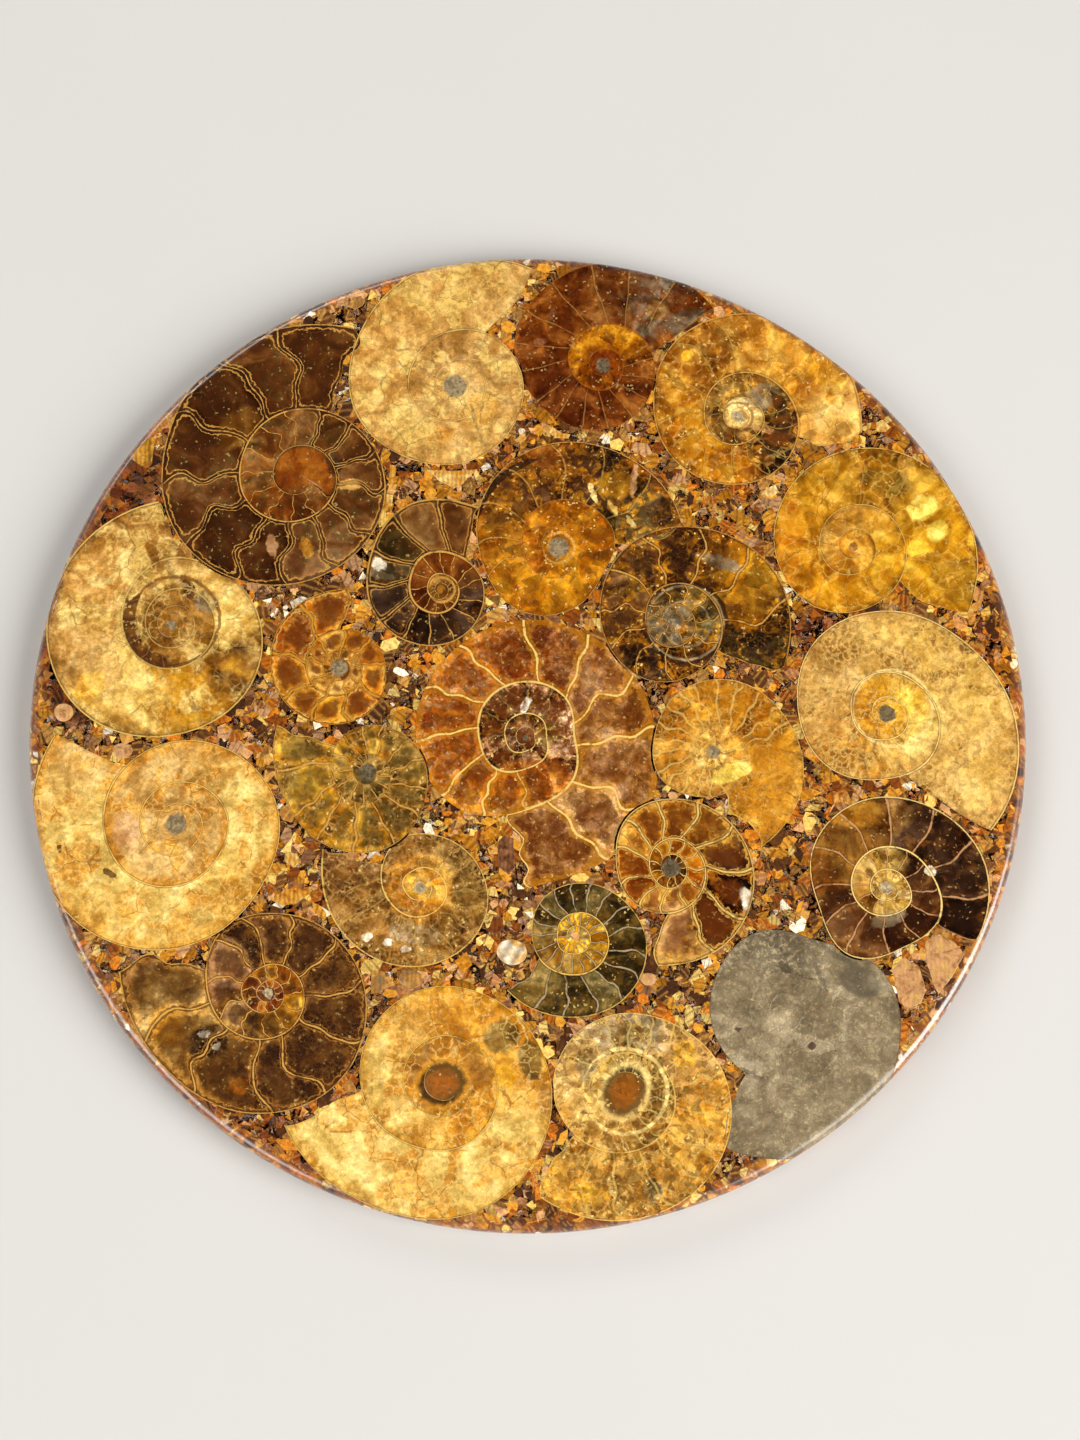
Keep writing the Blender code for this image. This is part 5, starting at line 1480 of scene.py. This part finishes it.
def keep_in_plate(mesh, low, proud):
    """Grind chips flush: nothing stands out of the plate's top, rim or underside."""
    count = len(mesh.vertices)
    points = np.empty(count * 3, np.float32)
    mesh.vertices.foreach_get("co", points)
    points = points.reshape(-1, 3)
    picks = np.empty(count * 3, np.float32)
    mesh.attributes["chip"].data.foreach_get("vector", picks)
    picks = picks.reshape(-1, 3)[:, 2]
    rim_round = bpy.context.scene.plate.rim_round
    shoulder = PLATE_RADIUS - rim_round
    middle = PLATE_TOP - rim_round
    radius = np.hypot(points[:, 0], points[:, 1])
    limit = rim_round + surface_level(radius, proud * picks + LEAST_LIFT)
    out = np.maximum(radius - shoulder, 0)
    over = np.maximum(points[:, 2] - middle, 0)
    under = np.maximum(rim_round - points[:, 2], 0)
    away = np.hypot(out, np.maximum(over, under))
    pull = np.where(away > limit, limit / np.maximum(away, TINY), 1.0)
    new_radius = np.where(radius > shoulder, shoulder + out * pull, radius)
    points[:, :2] *= (new_radius / np.maximum(radius, TINY))[:, None]
    height = np.where(over > 0, middle + over * pull, points[:, 2])
    height = np.where(under > 0, rim_round - under * pull, height)
    points[:, 2] = np.maximum(height, low - proud * picks)
    mesh.vertices.foreach_set("co", points.ravel())
    mesh.update()


def show_filling(layer, cells):
    """Grow one layer of chips from its cells, grind it flush and show it."""
    plate, filling = bpy.context.scene.plate, bpy.context.scene.filling
    height, seed_step, painted_brightness, low, proud = LAYERS[layer]
    stone = filling_finish("crushed_stone_" + layer, painted_brightness)
    mesh = grown_chips(flat_emitter(cells, height), getattr(filling, layer + "_spacing"),
                       getattr(filling, layer + "_size"), plate.seed + seed_step, stone)
    keep_in_plate(mesh, low, proud)
    show("filling_" + layer, mesh, stone)


# ----- Operators -----
class FOSSIL_OT_resin_plate(bpy.types.Operator):
    """Make the round plate of clear amber resin"""
    bl_idname = "fossil.resin_plate"
    bl_label = "Resin plate"

    def execute(self, context):
        mesh = smooth(turned("resin_disc", resin_profile()))
        show("resin_disc", mesh, resin_finish(), "resin_plate")
        return {"FINISHED"}


class FOSSIL_OT_shell_slices(bpy.types.Operator):
    """Make the sliced ammonites, each cut off where an earlier one or the rim stands in its way"""
    bl_idname = "fossil.shell_slices"
    bl_label = "Ammonite slices"

    def execute(self, context):
        whole = []
        for name, shell in SHELLS.items():
            node, piece = "ammonite_" + name, "slice_" + name
            mesh = smooth(build_slice(node, shell, whole))
            show(piece, mesh, shell_finish(piece, shell), node)
            whole.append(shell)
        return {"FINISHED"}


class FOSSIL_OT_large_chips(bpy.types.Operator):
    """Make the large chips of broken shell"""
    bl_idname = "fossil.large_chips"
    bl_label = "Large chips"

    def execute(self, context):
        rng = np.random.default_rng(context.scene.plate.seed)
        for node, (slot, finish, corners) in LARGE_CHIPS.items():
            mesh = prism(node, rough_outline(corners, rng), CHIP_BEVEL)
            name = node.replace("chip_", "shard_")
            show(name, mesh, stone_finish(name, **STONE_TONES[finish]), node)
        return {"FINISHED"}


class FOSSIL_OT_pebbles(bpy.types.Operator):
    """Make the rounded pebbles"""
    bl_idname = "fossil.pebbles"
    bl_label = "Pebbles"

    def execute(self, context):
        angles = np.linspace(0, 2 * math.pi, PEBBLE_SIDES, endpoint=False)
        for node, (slot, finish, centre, half) in PEBBLES.items():
            swell = 1 + 0.03 * np.sin(2 * angles + half[0]) + 0.02 * np.sin(3 * angles)
            outline = np.column_stack([centre[0] + half[0] * swell * np.cos(angles),
                                       centre[1] + half[1] * swell * np.sin(angles)]) * MM
            mesh = smooth(prism(node, outline, PEBBLE_BEVEL))
            name = node.replace("pebble_", "stone_")
            show(name, mesh, stone_finish(name, **STONE_TONES[finish]), node)
        return {"FINISHED"}


class FOSSIL_OT_top_filling(bpy.types.Operator):
    """Fill the gaps between the shells with crushed stone ground flush with the top"""
    bl_idname = "fossil.top_filling"
    bl_label = "Top filling"

    def execute(self, context):
        show_filling("top", open_cells(PLATE_RADIUS - 2.2 * MM, -0.1 * MM))
        return {"FINISHED"}


class FOSSIL_OT_deep_filling(bpy.types.Operator):
    """Seal a second layer of crushed stone in the resin below the first"""
    bl_idname = "fossil.deep_filling"
    bl_label = "Deep filling"

    def execute(self, context):
        show_filling("deep", open_cells(PLATE_RADIUS - 4.5 * MM, -0.6 * MM))
        return {"FINISHED"}


class FOSSIL_OT_back_filling(bpy.types.Operator):
    """Set crushed stone in the underside"""
    bl_idname = "fossil.back_filling"
    bl_label = "Underside filling"

    def execute(self, context):
        show_filling("back", plate_cells(PLATE_RADIUS - 2.5 * MM, -PLATE_RADIUS, PLATE_RADIUS))
        return {"FINISHED"}


class FOSSIL_OT_rim(bpy.types.Operator):
    """Cast the rounded rim round the plate"""
    bl_idname = "fossil.rim"
    bl_label = "Rim"

    def execute(self, context):
        mesh = smooth(turned("rim_casting", rim_profile(), looped=True))
        show("rim_casting", mesh, rim_finish())
        return {"FINISHED"}


# Name, direction from +X towards +Y, elevation, distance, width, height, power and tint of a light.
LIGHTS = (
    ("window_light", 333.0, 38.0, 2.2, 1.7, 1.9, 62.0, (1.0, 0.985, 0.96)),
    ("fill_light", 212.0, 48.0, 2.2, 1.7, 1.5, 24.0, (1.0, 0.98, 0.95)),
    ("back_light", 118.0, 38.0, 2.2, 1.4, 0.8, 11.0, (1.0, 0.98, 0.96)),
)
# The room's own light: colour, and strength from the walls up to the ceiling.
ROOM_TINT = (1.0, 0.99, 0.97, 1.0)
ROOM_FADE = {"From Min": 0.25, "From Max": 0.9, "To Min": 0.42, "To Max": 0.02}
CAMERA_SIDE = 270.0
CAMERA_SHIFT = (0.0085, 0.0021)
SENSOR_WIDTH = 36.0


class FOSSIL_OT_stage(bpy.types.Operator):
    """Set up the floor, the lights and the camera"""
    bl_idname = "fossil.stage"
    bl_label = "Floor, lights and camera"

    def execute(self, context):
        self.lay_floor(context.scene)
        self.hang_lights(context.scene)
        self.light_room(context.scene)
        self.place_camera(context.scene)
        return {"FINISHED"}

    def lay_floor(self, scene):
        """Lay a plain pale floor under the plate."""
        half = scene.stage.floor_size / 2
        corners = [(-half, -half, 0), (half, -half, 0), (half, half, 0), (-half, half, 0)]
        mesh = new_mesh("floor", corners, [(0, 1, 2, 3)])
        mesh.materials.append(floor_finish())
        floor = bpy.data.objects.new("floor", mesh)
        scene.collection.objects.link(floor)

    def hang_lights(self, scene):
        """Hang large soft lights round the plate."""
        for name, azimuth, elevation, distance, width, height, power, tint in LIGHTS:
            light = bpy.data.lights.new(name, "AREA")
            light.shape = "ELLIPSE"
            light.size = width
            light.size_y = height
            light.energy = power
            light.color = tint
            lamp = bpy.data.objects.new(name, light)
            lamp.location = around_plate(azimuth, elevation, distance)
            lamp.rotation_euler = (math.radians(90 - elevation), 0.0, math.radians(azimuth + 90))
            scene.collection.objects.link(lamp)

    def light_room(self, scene):
        """Give the room a faint light of its own that fades towards the ceiling."""
        world = bpy.data.worlds.new("studio")
        world.use_nodes = True
        tree = world.node_tree
        direction = add_node(tree, "ShaderNodeTexCoord", {}, {}).outputs["Generated"]
        parts = add_node(tree, "ShaderNodeSeparateXYZ", {0: direction}, {})
        fade = add_node(tree, "ShaderNodeMapRange", {"Value": parts.outputs["Z"], **ROOM_FADE}, {})
        background = tree.nodes["Background"]
        background.inputs["Color"].default_value = ROOM_TINT
        tree.links.new(fade.outputs["Result"], background.inputs["Strength"])
        scene.world = world
        scene.view_settings.view_transform = "Standard"

    def place_camera(self, scene):
        """Look down on the plate."""
        stage = scene.stage
        camera = bpy.data.cameras.new("camera")
        camera.lens = stage.lens
        camera.sensor_width = SENSOR_WIDTH
        camera.sensor_fit = "AUTO"
        camera.shift_x, camera.shift_y = CAMERA_SHIFT
        viewer = bpy.data.objects.new("camera", camera)
        viewer.location = around_plate(CAMERA_SIDE, math.degrees(stage.elevation), stage.distance)
        viewer.rotation_euler = (math.pi / 2 - stage.elevation, 0.0, 0.0)
        scene.collection.objects.link(viewer)
        scene.camera = viewer


def around_plate(azimuth, elevation, distance):
    """A point seen from the middle of the plate's top in a direction."""
    side, rise = math.radians(azimuth), math.radians(elevation)
    return (distance * math.cos(rise) * math.cos(side), distance * math.cos(rise) * math.sin(side),
            PLATE_TOP + distance * math.sin(rise))


OPERATORS = (
    FOSSIL_OT_resin_plate, FOSSIL_OT_shell_slices, FOSSIL_OT_large_chips, FOSSIL_OT_pebbles,
    FOSSIL_OT_top_filling, FOSSIL_OT_deep_filling, FOSSIL_OT_back_filling, FOSSIL_OT_rim,
    FOSSIL_OT_stage,
)
SETTINGS = {"plate": PlateSettings, "resin": ResinSettings, "filling": FillingSettings,
            "stage": StageSettings}


class FOSSIL_PT_panel(bpy.types.Panel):
    """Buttons that make the plate"""
    bl_idname = "FOSSIL_PT_panel"
    bl_label = "Fossil plate"
    bl_space_type = "VIEW_3D"
    bl_region_type = "UI"
    bl_category = "Fossil plate"

    def draw(self, context):
        column = self.layout.column()
        for operator in OPERATORS:
            column.operator(operator.bl_idname)
        for group in SETTINGS:
            settings = getattr(context.scene, group)
            for name in settings.__annotations__:
                column.prop(settings, name)


CLASSES = (*SETTINGS.values(), *OPERATORS, FOSSIL_PT_panel)


def register():
    """Add the settings, the operators and the panel."""
    for item in CLASSES:
        bpy.utils.register_class(item)
    for name, group in SETTINGS.items():
        setattr(bpy.types.Scene, name, PointerProperty(type=group))


def unregister():
    """Take them away again."""
    for name in SETTINGS:
        delattr(bpy.types.Scene, name)
    for item in reversed(CLASSES):
        bpy.utils.unregister_class(item)


def main():
    """Make every piece and the stage."""
    register()
    for operator in OPERATORS:
        area, name = operator.bl_idname.split(".")
        getattr(getattr(bpy.ops, area), name)()


if __name__ == "__main__":
    main()
